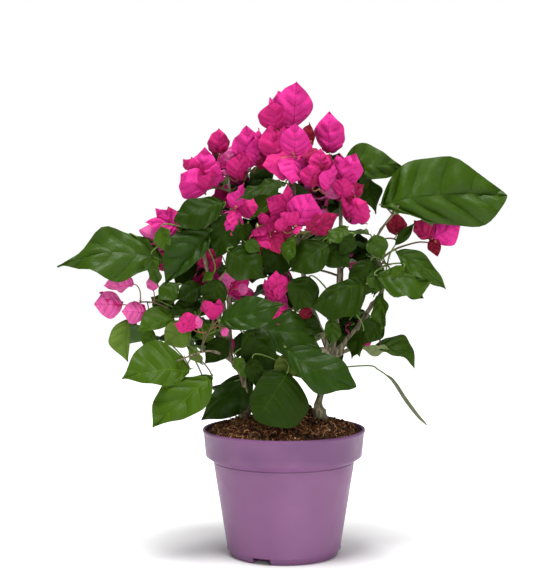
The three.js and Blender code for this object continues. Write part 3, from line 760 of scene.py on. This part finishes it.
def pot_paint():
    """Mauve plastic, with painted shade that makes the collar darker, as if the crown shaded it."""
    made = Paint("pot_plastic", "#7e507c", 0.42, Specular_IOR_Level=0.4)
    up = made.node("SeparateXYZ", {0: made.place}).outputs["Z"]
    # Painted shade: from 90 to 115 mm up the colour steps darker, standing for the crown's shadow on the
    # collar.
    collar = made.between(up, 0, -0.4, 0.09, 0.115)
    shade = made.node("Math", {0: made.noise(14, 3), 1: collar}, operation="ADD").outputs[0]
    made.drive("Base Color", made.ramp(shade, (0.1, "#633a64"), (0.35, "#754872"), (0.65, "#7c4f7a")))
    made.drive("Roughness", made.between(made.noise(60, 6), 0.36, 0.5))
    made.bump(made.noise(1400, 2), 0.00005)
    return made.material


def soil_paint():
    """Peat from black to brown, with a tinge of moss."""
    made = Paint("soil", "#3a2314", 0.95, Specular_IOR_Level=0.15)
    crumb = made.noise(260, 8)
    browns = (0.32, "#140a04"), (0.48, "#3a1f0e"), (0.58, "#52361f"), (0.68, "#4a4424")
    made.drive("Base Color", made.ramp(crumb, *browns))
    made.drive("Roughness", made.between(crumb, 0.88, 1.0))
    made.bump(crumb, 0.002)
    return made.material


def crumb_paint(name, colour):
    return grained(name, colour, 0.92, 700, (0.85, 1.0), (1200, 5), 0.0006, Specular_IOR_Level=0.15)


def floor_paint():
    """White paper with a painted glow, which grows the further it is from the pot and washes out shadows
    away from its foot.
    """
    made = Paint("floor", "#f0f0f0", 0.9, Specular_IOR_Level=0.05, Emission_Color=(1, 1, 1, 1))
    made.drive("Base Color", made.ramp(made.noise(6), (0.3, "#eeeeee"), (0.7, "#f2f2f2")))
    away = made.node("VectorMath", {0: made.place}, operation="LENGTH").outputs["Value"]
    # Painted light: the floor glows faintly near the pot and strongly from 0.3 m out, so that shadows show
    # only near the foot.
    made.drive("Emission Strength", made.between(away, 0.02, 0.65, 0.09, 0.3))
    return made.material


# ---------------------------------------------------------------- pot

def lathe(name, profile, segments, material):
    """A closed ring turned from a profile of (radius, height) points, given anticlockwise."""
    profile = np.array(profile, float)
    turn = turns(segments)
    points = np.stack([
        profile[:, :1] * np.cos(turn), profile[:, :1] * np.sin(turn), profile[:, 1:] + 0 * turn
    ], -1)
    rings = np.arange(len(profile) * segments).reshape(len(profile), segments)
    heap = Heap()
    heap.add(points.reshape(-1, 3), belt(np.vstack([rings, rings[:1]])), 0)
    return heap.make(name, [material])


def pot_profile():
    """Outside from the foot to the lip, and inside back down to the middle of the floor."""
    p = SimpleNamespace(**POT)
    r, w, bead, step = p.round, p.wall, p.band_height, p.collar_foot_z
    foot = [
        (p.foot - r, 0), (p.foot, r * 0.3), (p.band - 1.1, bead - 0.6), (p.band + 0.3, bead - 0.4),
        (p.band + 0.6, bead), (p.band + 0.3, bead + 0.6), (p.wall_foot + 0.5, bead + 1.2),
    ]
    wall = [
        (p.wall_top - 0.4, 95), (p.wall_top - 0.1, step - 1.5), (p.wall_top - 0.8, step - 1.3),
        (p.wall_top - 0.8, step - 0.4), (p.wall_top + 1.2, step - 0.2), (p.wall_top + 1.6, step + 0.3),
    ]
    collar = [
        (p.collar - 0.7, p.collar_z - 0.9), (p.collar, p.collar_z), (p.collar + 0.2, p.collar_z + 1.4),
        (p.collar_top - 0.3, p.lip_foot - 1), (p.collar_top, p.lip_foot - 0.2),
    ]
    lip = [
        (p.lip - 0.2, p.lip_foot + 0.3), (p.lip, p.lip_foot + 0.9), (p.lip, p.height - 0.9),
        (p.lip - 0.3, p.height - 0.2), (p.lip - 0.9, p.height),
    ]
    inside = [
        (p.collar_top - w, p.height), (p.collar_top - w - 0.5, p.height - 0.5),
        (p.collar_top - w - 0.7, 129), (p.collar - w, p.collar_z + 1), (p.wall_top - w, step),
        (p.wall_foot - w, bead + 1), (p.foot - w - 1, p.floor + 1.5), (p.foot - w - 2.5, p.floor),
        (2, p.floor), (2, 0),
    ]
    return foot + wall + collar + lip + inside


def prism(name, outline, low, high):
    """A solid standing on an outline of (x, y) points."""
    n = len(outline)
    points = np.array([(x, y, z) for z in (low, high) for x, y in outline]) * MM
    ends = [tuple(range(n))[::-1], tuple(range(n, 2 * n))]
    sides = [(k, (k + 1) % n, n + (k + 1) % n, n + k) for k in range(n)]
    mesh = bpy.data.meshes.new(name)
    mesh.from_pydata([tuple(p) for p in points], [], ends + sides)
    return stand(name, mesh)


def pot_cutters():
    """The notches in the foot and the drain holes in the floor."""
    for k in range(NOTCH["count"]):
        turn = math.radians(NOTCH["bearing"] - 90 + 360 / NOTCH["count"] * k)
        out, side = toward(turn)[:2], vector(-math.sin(turn), math.cos(turn))
        corners = [out * (NOTCH["at"] + NOTCH["depth"] / 2 * a) + side * NOTCH["width"] / 2 * b
                   for a, b in ((-1, -1), (1, -1), (1, 1), (-1, 1))]
        yield prism(f"notch_{k}", corners, CUT_FROM, NOTCH["height"])
    for k in range(DRAIN["count"]):
        middle = toward(2 * math.pi * k / DRAIN["count"])[:2] * DRAIN["at"]
        ring = [middle + DRAIN["radius"] * toward(turn)[:2] for turn in np.arange(20) * math.pi / 10]
        yield prism(f"drain_{k}", ring, CUT_FROM, DRAIN["height"])


def carve(piece, cutters):
    """Takes the cutters out of a piece."""
    for tool in cutters:
        cut = piece.modifiers.new(tool.name, "BOOLEAN")
        cut.operation, cut.solver, cut.object = "DIFFERENCE", "EXACT", tool
    result = bpy.data.meshes.new_from_object(piece.evaluated_get(bpy.context.evaluated_depsgraph_get()))
    piece.modifiers.clear()
    piece.data = result
    for tool in cutters:
        bpy.data.objects.remove(tool)


def make_pot():
    """The pot with its foot notched and its floor drained."""
    pot = lathe("nursery_pot", pot_profile(), POT["segments"], pot_paint())
    carve(pot, list(pot_cutters()))
    pot.data.shade_smooth()
    pot.data.set_sharp_from_angle(angle=math.radians(34))
    finish(pot, ["pot"])


# ---------------------------------------------------------------- soil

def soil_height(x, y):
    """A mound, a heap at the back right and grit of three sizes."""
    inward = np.maximum(0, 1 - (x**2 + y**2) / SOIL["reach"] ** 2)
    away = np.hypot(x - SOIL["heap_at"][0], y - SOIL["heap_at"][1])
    heap = SOIL["heap"] * np.exp(-((away / SOIL["heap_spread"]) ** 2)) * inward**0.3
    place = np.stack([x, y], -1)
    grit = 1.1 * rumple(place, 9, 5) + 0.7 * rumple(place, 4, 6) + 0.4 * rumple(place, 2.2, 7)
    return SOIL["edge"] + SOIL["mound"] * inward**0.8 + heap + grit * np.minimum(1, inward * 6)


def make_soil():
    """The soil's rough surface, on a skirt that goes down inside the pot."""
    radius = (SOIL["reach"] * np.linspace(1, 0.012, SOIL["rings"]))[:, None]
    turn = turns(SOIL["segments"])
    x, y = radius * np.cos(turn), radius * np.sin(turn)
    top = np.stack([x, y, soil_height(x, y)], -1)
    skirt = top[0] * (0.985, 0.985, 0) + (0, 0, SOIL["edge"] - 12)
    points = np.concatenate([skirt[None], top])
    heap = Heap()
    heap.add(points.reshape(-1, 3), capped(len(points), SOIL["segments"]), 0)
    finish(heap.make("soil_top", [soil_paint()]), ["soil"])


def crumb(heap, place, size, tone, draw):
    """A small uneven lump."""
    turn = turns(6)
    rings = []
    for z, reach in ((-0.8, 0.5), (-0.25, 1), (0.4, 0.85), (0.85, 0.35)):
        wide, high = reach * draw.uniform(0.75, 1.2, 6), z * draw.uniform(0.8, 1.1, 6)
        rings.append(np.stack([wide * np.cos(turn), wide * np.sin(turn), high], -1))
    points = np.array(rings) * size * draw.uniform(0.6, 1.2, 3)
    tilt = np.linalg.qr(draw.normal(size=(3, 3)))[0]
    tilt *= np.sign(np.linalg.det(tilt))
    heap.add(points.reshape(-1, 3) @ tilt + place, capped(len(rings), len(turn)), tone)


def fibre(heap, draw):
    """A curly coir fibre that wanders over the soil."""
    path, turn = [on_soil(draw)], draw.uniform(0, 2 * math.pi)
    for _ in range(draw.integers(5, 12)):
        turn += draw.normal(0, 0.55)
        step = path[-1] + toward(turn) * 1.9
        if math.hypot(step[0], step[1]) > SOIL["reach"] * 0.97:
            break
        step[2] = soil_height(step[0], step[1]) + draw.uniform(0.1, 1.6)
        path.append(step)
    if len(path) > 3:
        radii = np.linspace(0.28, 0.12, 2 * len(path) - 1)
        tube(heap, smooth(path, 2), radii, 4, draw.integers(0, len(FIBRE_COLOURS)))


def on_soil(draw):
    """A place on the soil, a little in from its edge."""
    radius = SOIL["reach"] * 0.96 * math.sqrt(draw.uniform())
    place = toward(draw.uniform(0, 2 * math.pi)) * radius
    place[2] = soil_height(*place[:2])
    return place


def make_litter():
    """Crumbs of peat and bark, and curly coir fibres, on top of the soil."""
    draw = np.random.default_rng(SEEDS["litter"])
    crumbs, fibres = Heap(), Heap()
    for _ in range(CRUMBS):
        tone = draw.choice(len(CRUMB_COLOURS), p=list(CRUMB_COLOURS.values()))
        size = draw.uniform(0.6, 2.1) if tone < COARSE else draw.uniform(0.5, 1.4)
        crumb(crumbs, on_soil(draw), size, tone, draw)
    for _ in range(FIBRES):
        fibre(fibres, draw)
    browns = [crumb_paint(f"crumb_{k}", colour) for k, colour in enumerate(CRUMB_COLOURS)]
    straws = [crumb_paint(f"fibre_{k}", colour) for k, colour in enumerate(FIBRE_COLOURS)]
    finish(crumbs.make("soil_crumbs", browns))
    finish(fibres.make("soil_fibres", straws))


# ---------------------------------------------------------------- stems and boughs

def limb_path(name):
    """A limb's smooth centre line with its radius, as rows of x, y, z, radius."""
    if name in STEMS:
        route, radii = STEMS[name]
        return smooth(np.column_stack([route, radii]), 14)
    stem, route, radii = BOUGHS[name]
    fork, before = STEMS[stem][0][-1], STEMS[stem][0][-2]
    sunk = lerp(vector(*fork), vector(*before), 0.25)
    return smooth(np.column_stack([[sunk] + route, radii]), 12)


PATHS = {name: limb_path(name) for name in [*STEMS, *BOUGHS]}


def bark_relief(path, sides, seed):
    """Ridges along the limb, and the low rings and knots where leaves stood."""
    draw = np.random.default_rng(seed)
    run = np.concatenate([[0], np.cumsum(np.linalg.norm(np.diff(path[:, :3], axis=0), axis=1))])
    turn = turns(sides)
    radius, along = path[:, 3:4], run[:, None]
    level = 0 * along
    place = np.stack([np.cos(turn) * 3 + level, np.sin(turn) * 3 + level, along * 0.25 + 0 * turn], -1)
    relief = radius * (0.05 * rumple(place, 2.2, seed) + 0.06 * rumple(place, 5, seed + 1))
    at, bearing = draw.uniform(6, 14), draw.uniform(0, 2 * math.pi)
    while at < run[-1]:
        near = np.exp(-(((run - at) / 2.6) ** 2))[:, None]
        facing = np.exp(2.2 * (np.cos(turn - bearing) - 1))[None]
        relief = relief + radius * near * (0.1 + 0.42 * facing)
        at += draw.uniform(11, 21)
        bearing += math.radians(137.5)  # about the golden angle
    return relief


def limb_tube(heap, name, sides, seed):
    """A limb with its bark. A bough swells at its fork and a stem in its knob."""
    path = PATHS[name].copy()
    if name in BOUGHS:
        path[:, 3] *= 1 + 0.22 * np.exp(-np.arange(len(path)) / 3.5)
    else:
        path[:, 3] += KNOB["swell"] * np.exp(-(((path[:, 2] - KNOB["height"]) / KNOB["tall"]) ** 2))
    tube(heap, path[:, :3], path[:, 3], sides, relief=bark_relief(path, sides, seed))


def foot_knobs(heap, name, draw):
    """The swollen, knotted crown of roots where a stem stands on the soil."""
    foot = vector(*STEMS[name][0][0])
    turn = draw.uniform(0, 2 * math.pi)
    for k in range(7):
        way = toward(turn)
        start = foot + (0, 0, draw.uniform(4, 9)) + way * 2
        end = foot - (0, 0, 2.5) + way * draw.uniform(6, 9)
        path = smooth([start, lerp(start, end, 0.5) + (0, 0, draw.uniform(0, 2)), end], 6)
        radii = np.linspace(draw.uniform(2.2, 3), 0.9, len(path))
        spin = 0.18 * radii[:, None] * rumple(path[:, None] + np.arange(8)[None, :, None], 6, k)
        tube(heap, path, radii, 8, relief=spin)
        turn += 2 * math.pi / 7 + draw.uniform(-0.3, 0.3)


def make_bark():
    """Each stem and its boughs as one mesh."""
    heaps = {stem: Heap() for stem in STEMS}
    draw = np.random.default_rng(SEEDS["knobs"])
    for k, (stem, heap) in enumerate(heaps.items()):
        limb_tube(heap, stem, 28, SEEDS["stems"] + k)
        foot_knobs(heap, stem, draw)
    for k, (bough, (stem, _, _)) in enumerate(BOUGHS.items()):
        limb_tube(heaps[stem], bough, 20, SEEDS["boughs"] + 3 * k)
    paints = [bark_paint("bark_brown", "#453c2e", "#776c54", "#a0967c"),
              bark_paint("bark_grey", "#3a382a", "#68634c", "#948b72")]
    for (stem, heap), bark in zip(heaps.items(), paints):
        boughs = [name for name, row in BOUGHS.items() if row[0] == stem]
        finish(heap.make("bark_" + stem.split("_")[1], [bark]), [stem] + boughs)


# ---------------------------------------------------------------- foliage and blossom

def mass_box(name):
    """The low and high corners of a mass of the CAD."""
    low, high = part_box(name)
    return np.array(low) / MM, np.array(high) / MM


def within(name, shares):
    """The place in a mass's box at these hundredths across, up and deep."""
    low, high = mass_box(name)
    across, up, deep = np.array(shares) / 100
    return low + (high - low) * (across, deep, up)


def shows_sky(points):
    """True if the front would see any of these points in a gap of the crown."""
    points = np.asarray(points)
    share = EYE[1] / (EYE[1] - points[:, 1])
    seen = EYE + (points - EYE) * share[:, None]
    return any(np.any(((seen[:, 0] - x) / wide) ** 2 + ((seen[:, 2] - z) / tall) ** 2 < 1)
               for x, z, wide, tall in SKY)


class Plant:
    """The joined leaves, bracts, tube flowers and twigs, and the limbs that they grow from."""

    def __init__(self):
        self.leaves, self.far_leaves, self.bracts, self.far_bracts = Heap(), Heap(), Heap(), Heap()
        self.flowers, self.twigs = Heap(), Heap()
        self.wood = np.vstack([path[4:] for path in PATHS.values()])
        self.seed = SEEDS["plant"]

    def next_seed(self):
        self.seed += 1
        return self.seed

    def twig(self, target):
        """A twig to target from the limb that lies best for it, as rows of x, y, z, radius."""
        away = np.linalg.norm(self.wood[:, :3] - target, axis=1)
        above = np.maximum(0, self.wood[:, 2] - target[2])
        root = self.wood[np.argmin(away + 0.6 * above)]
        path = arc(root[:3], target, 0.12, TWIG_STEPS)
        waver = np.stack([rumple(path, 30, self.next_seed() + k) for k in range(3)], -1)
        growing = np.linspace(0, 1, TWIG_STEPS)[:, None]
        path += 0.02 * np.linalg.norm(target - root[:3]) * waver * growing
        radii = np.linspace(min(root[3] * 0.8, 1.5), 0.8, TWIG_STEPS)
        tube(self.twigs, path, radii, 7, BROWN)
        return np.column_stack([path, radii])

    def stalk(self, twig, base, way, radius=0.75, tone=PETIOLE):
        """A petiole or pedicel from the twig to a blade's base, which it meets along way."""
        near = twig[np.argmin(np.linalg.norm(twig[:, :3] - base, axis=1)), :3]
        reach = np.linalg.norm(base - near)
        if reach < 1:
            return
        t = np.linspace(0, 1, 9)[:, None]
        bend = base - way * min(0.5 * reach, 9)
        path = (1 - t) ** 2 * near + 2 * t * (1 - t) * bend + t**2 * (base + way * 1.2)
        tube(self.twigs, path, np.linspace(radius * 1.15, radius, 9), 6, tone)
        if reach > 6:
            self.thorn(near, unit(base - near))

    def thorn(self, near, way):
        """A short spine beside a stalk that leaves its twig along way."""
        spin = np.random.default_rng(self.next_seed())
        side = unit(np.cross(way, spin.normal(size=3))) + 0.6 * way
        path = near + unit(side) * np.linspace(0, spin.uniform(4, 8), 5)[:, None]
        path[:, 2] -= np.linspace(0, 1, 5) ** 2 * 0.8
        tube(self.twigs, path, np.linspace(0.6, 0.08, 5), 4, BROWN)

    def leaf(self, twig, base, tip, look, half, green, kind="egg", near=True, **shape):
        """A leaf with its petiole. green and kind are its colour and its outline."""
        light = green in LIGHT_GREENS
        names = (green, "vein_bright", "under_bright") if light else (green, "vein_dark", "under")
        tones = [GREEN_SLOTS.index(name) for name in names]
        heap, plan = (self.leaves, LEAF[kind]) if near else (self.far_leaves, FAR_LEAF)
        blade(heap, plan, base, tip, look, half, tones, self.next_seed(), **shape)
        self.stalk(twig, base, unit(tip - base))

    def bract(self, base, tip, look, half, pink, near=True, **shape):
        """A papery bract. A deep pink one, whose darker pink is painted shade, shows its hollow side."""
        names = (pink, "vein_deep", "under_deep") if pink in SHADED_PINKS else (pink, "vein", pink)
        tones = [PINK_SLOTS.index(name) for name in names]
        heap, plan = (self.bracts, BRACT) if near else (self.far_bracts, FAR_BRACT)
        blade(heap, plan, base, tip, look, half, tones, self.next_seed(),
              puff=0.034, wave=0.055, crumple=(0.034, 0.85), **shape)

    def flower(self, base, way, length, draw):
        """A slender tube flower, which now and then is open in a small pale star."""
        side = unit(np.cross(way, draw.normal(size=3)))
        end = base + way * length
        path = smooth([base, lerp(base, end, 0.5) + side * length * 0.06, end], 4)
        radii = np.array([0.7, 0.95, 1.05, 1.0, 0.9, 0.95, 1.15, 1.3, 1.2])
        tube(self.flowers, path, radii, 8, 0)
        if draw.uniform() < 0.22:
            out = unit(path[-1] - path[-2])
            star = path[-1] + out * np.array([-0.3, 0.5, 1.0, 0.7])[:, None]
            points = np.array([0, 0.1, 0.35, 0.3])[:, None] * np.tile([1, -1], 5)
            tube(self.flowers, star, [0.9, 1.6, 3.1, 2.6], 10, 1, points)

    def trio(self, twig, base, tips, near=True):
        """Bracts round their tube flowers, outer faces out. tips are rows of tip, half, look and pink."""
        draw = np.random.default_rng(self.next_seed())
        middle = unit(sum(unit(tip - base) for tip, *_ in tips) + vector(0, -0.2, 0.1))
        for tip, half, look, pink in tips:
            # The darker pinks are painted shade, and a bract in one of them turns its hollow side out.
            fold = draw.uniform(-0.15, 0.25) if pink in SHADED_PINKS else draw.uniform(-0.8, -0.45)
            self.bract(base, tip, look, half, pink, near, fold=fold, cup=-0.15,
                       bend=draw.uniform(0.04, 0.14), twist=draw.uniform(-0.3, 0.3))
            way = unit(unit(tip - base) + 0.9 * middle + (0, 0.5, 0) + draw.normal(0, 0.12, 3))
            self.flower(base + (0, 2, 0), way, np.linalg.norm(tip - base) * draw.uniform(0.3, 0.45), draw)
        self.stalk(twig, base, middle, 0.6, PEDICEL)


def look_way(word, draw, spread):
    """The way a blade looks, a little off what the word says."""
    return unit(vector(*LOOKS[word]) + draw.normal(0, spread, 3))


def sprout(plant, name, rows, aside):
    """A mass's draws, the bases of its rows and a twig that ends beside their middle."""
    draw = np.random.default_rng(plant.next_seed())
    bases = [within(name, row[0]) for row in rows]
    return draw, bases, plant.twig(np.mean(bases, 0) + aside)


def grow_leaves(plant, name, rows):
    """The leading leaves of a mass, and a few smaller ones behind them."""
    draw, bases, twig = sprout(plant, name, rows, (0, 6, 0))
    for (_, tip, half, look, fold, bend, green, *more), base in zip(rows, bases):
        plant.leaf(twig, base, within(name, tip), look_way(look, draw, 0.05), half, green,
                   fold=fold, bend=bend, twist=draw.uniform(-0.15, 0.15), **dict(*more))
    scatter(plant, name, twig, 3, 0, draw, behind=True)


def grow_blossom(plant, name, rows):
    """The leading trios of a mass, and a few small leaves and a trio behind them."""
    draw, bases, twig = sprout(plant, name, rows, (0, 8, -6))
    for (_, *bracts), base in zip(rows, bases):
        plant.trio(twig, base, [(within(name, tip), half, look_way(look, draw, 0.2), pink)
                                for tip, half, look, pink in bracts])
    scatter(plant, name, twig, 2, 1, draw, behind=True)


def scatter(plant, name, twig, leaves, trios, draw, behind=False):
    """Fills a mass by the golden angle with leaves and trios that point out of it."""
    low, high = mass_box(name)
    middle, half = (low + high) / 2, (high - low) / 2
    front = max(BEHIND, high[1] - 6) if behind else FOREMOST
    total = leaves + trios
    blooming = set(np.round(np.linspace(0, total - 1, trios + 2)[1:-1]).astype(int)) if trios else set()
    spin = draw.uniform(0, 2 * math.pi)
    for k in range(total):
        rise = 1 - 2 * (k + 0.5) / total
        turn = spin + GOLDEN * k
        way = toward(turn) * math.sqrt(1 - rise**2) + (0, 0, rise)
        if behind:
            way[1] = abs(way[1]) + 0.25
        way = unit(way + draw.normal(0, 0.12, 3))
        end = middle + way * half * 0.95
        if behind:
            end[1] = max(end[1], front)
        if k in blooming:
            fill_trio(plant, twig, end, unit(way + (0, 0, 0.5)), draw)
        else:
            fill_leaf(plant, twig, end, way, draw, front)


def fill_leaf(plant, twig, tip, way, draw, front):
    """A small leaf that droops from its way, unless it would close a gap of the crown."""
    length = draw.uniform(*FILL_LEAF)
    droop = unit(way + vector(0, 0, -0.25) + draw.normal(0, 0.25, 3))
    base = tip - droop * length
    shift = max(0, front + 4 - min(base[1], tip[1]))
    base, tip = base + (0, shift, 0), tip + (0, shift, 0)
    half = draw.uniform(0.28, 0.38)
    side = unit(np.cross(droop, (0, 0, 1))) * half * length
    middle = (base + tip) / 2
    if shows_sky([base, middle, tip, middle + side, middle - side, lerp(base, tip, 0.75)]):
        return
    look = unit(vector(0, 0, 0.8) + way * 0.7 + draw.normal(0, 0.3, 3))
    green = draw.choice(["dark", "deep", "mid", "bright"], p=(0.36, 0.3, 0.26, 0.08))
    plant.leaf(twig, base, tip, look, half, green, near=False, fold=draw.uniform(-0.2, 0.25),
               bend=draw.uniform(0, 0.12), twist=draw.uniform(-0.4, 0.4))


def fill_trio(plant, twig, end, axis, draw):
    """Three small bracts that open round an axis, unless they would close a gap of the crown."""
    length = draw.uniform(*FILL_BRACT)
    base = end - axis * length * 0.9
    side = unit(np.cross(axis, draw.normal(size=3)))
    other = np.cross(axis, side)
    opening = draw.uniform(0.35, 0.8)
    # Painted light and shade dealt by chance: bright is a lit and deep a shaded copy of the magenta.
    pinks = draw.choice(["bright", "mid", "deep", "pale"], 3, p=(0.35, 0.35, 0.2, 0.1))
    rows = []
    for k, pink in enumerate(pinks):
        turn = 2 * math.pi * k / 3 + draw.normal(0, 0.15)
        out = side * math.cos(turn) + other * math.sin(turn)
        tip = base + length * unit(axis * math.cos(opening) + out * math.sin(opening))
        look = out * math.cos(opening) - axis * math.sin(opening)
        rows.append((tip, draw.uniform(0.4, 0.46), look, pink))
    if not shows_sky([base, end] + [row[0] for row in rows]):
        plant.trio(twig, base, rows, near=False)


def arched_leaf(plant):
    """The long leaf that stands edge on at the right, on a petiole from the right stem."""
    path = smooth([within("leaf_right_arched", (across, up, 50)) for across, up in ARCH], 8)
    lift = np.cross(unit(np.gradient(path, axis=0)), (0, 1, 0))
    share = np.linspace(0, 1, len(path))
    bulge = np.sin(np.clip((share - 0.4) / 0.6, 0, 1) * math.pi) ** 0.7
    wide = (np.where(share < 0.4, 0, bulge) * 11 + 0.4)[:, None]
    across = np.linspace(-1, 1, 9)
    sheet = path[:, None] + vector(0, 1, 0) * (wide * across)[..., None]
    sheet += lift[:, None] * (abs(across) * wide * 0.28)[..., None]
    slab(plant.leaves, sheet, sheet - lift[:, None] * 0.9, GREEN_SLOTS.index("silver"))
    stalk = share < 0.5
    tube(plant.twigs, path[stalk] - lift[stalk] * 0.4, np.linspace(0.95, 0.8, stalk.sum()), 6, PETIOLE)


def grow_plant():
    """All the foliage and blossom, mass by mass."""
    plant = Plant()
    for name, rows in BLOSSOM.items():
        grow_blossom(plant, name, rows)
    for name, rows in LEAVES.items():
        grow_leaves(plant, name, rows)
    for name, (leaves, trios) in BACK_FILL.items():
        low, high = mass_box(name)
        twig = plant.twig((low + high) / 2)
        scatter(plant, name, twig, leaves, trios, np.random.default_rng(plant.next_seed()))
    arched_leaf(plant)
    return plant


def make_plant():
    """The pieces of the plant that grow on its limbs."""
    plant = grow_plant()
    greens = [leaf_paint("leaf_" + name, *colour) for name, colour in GREENS.items()]
    pinks = [bract_paint("bract_" + name, colour) for name, colour in PINKS.items()]
    tubes = [leaf_paint(name, colour) for name, colour in TUBE_COLOURS.items()]
    woods = [twig_paint(name, colour) for name, colour in TWIG_COLOURS.items()]
    finish(plant.leaves.make("leaves_front", greens), [*LEAVES, "leaf_right_arched"])
    finish(plant.far_leaves.make("leaves_inner", greens), list(BACK_FILL))
    finish(plant.bracts.make("bracts_front", pinks), list(BLOSSOM))
    finish(plant.far_bracts.make("bracts_inner", pinks))
    finish(plant.flowers.make("tube_flowers", tubes))
    finish(plant.twigs.make("twigs", woods))


# ---------------------------------------------------------------- floor, light and camera

def make_floor():
    """A wide sheet just under the foot of the pot."""
    span = np.linspace(-FLOOR["reach"], FLOOR["reach"], FLOOR["points"])
    x, y = np.meshgrid(span, span, indexing="ij")
    heap = Heap()
    heap.add(np.stack([x, y, 0 * x + FLOOR["z"]], -1).reshape(-1, 3), lattice(*x.shape), 0)
    heap.make("floor", [floor_paint()])


def area_light(name, at, aim, size, power):
    """A round lamp, size metres across and of so many watts."""
    data = bpy.data.lights.new(name, "AREA")
    data.shape, data.size, data.energy = "DISK", size, power
    lamp = stand(name, data)
    lamp.location = vector(*at) * MM
    x, y, z = vector(*aim) - vector(*at)
    lamp.rotation_euler = (math.atan2(math.hypot(x, y), -z), 0, math.atan2(x, -y) + math.pi)


def make_lights():
    """A plain world that the camera sees as white, and three lamps."""
    world = bpy.data.worlds.new("studio")
    bpy.context.scene.world = world
    world.use_nodes = True
    nodes, links = world.node_tree.nodes, world.node_tree.links
    plain, seen = nodes["Background"], nodes.new("ShaderNodeBackground")
    for node, strength in ((plain, 0.36), (seen, 1.0)):
        node.inputs["Color"].default_value = (1, 1, 1, 1)
        node.inputs["Strength"].default_value = strength
    rays = nodes.new("ShaderNodeLightPath")
    mix = nodes.new("ShaderNodeMixShader")
    links.new(rays.outputs["Is Camera Ray"], mix.inputs[0])
    links.new(plain.outputs[0], mix.inputs[1])
    links.new(seen.outputs[0], mix.inputs[2])
    links.new(mix.outputs[0], nodes["World Output"].inputs["Surface"])
    middle = (0, 0, 260)
    area_light("key", (-180, -480, 1700), middle, 0.7, 25)
    area_light("top", (150, 60, 1750), middle, 1.2, 15)
    area_light("fill", (500, -1500, 500), middle, 0.9, 8)
    bpy.context.scene.view_settings.view_transform = "Standard"


def make_camera():
    """The photo's point of view."""
    data = bpy.data.cameras.new("camera")
    data.lens, data.sensor_width = LENS, SENSOR
    camera = stand("camera", data)
    camera.location = EYE * MM
    camera.rotation_euler = (math.radians(90 - LOOK_DOWN), 0, 0)
    bpy.context.scene.camera = camera


make_camera()
make_lights()
make_floor()
make_pot()
make_soil()
make_litter()
make_bark()
make_plant()
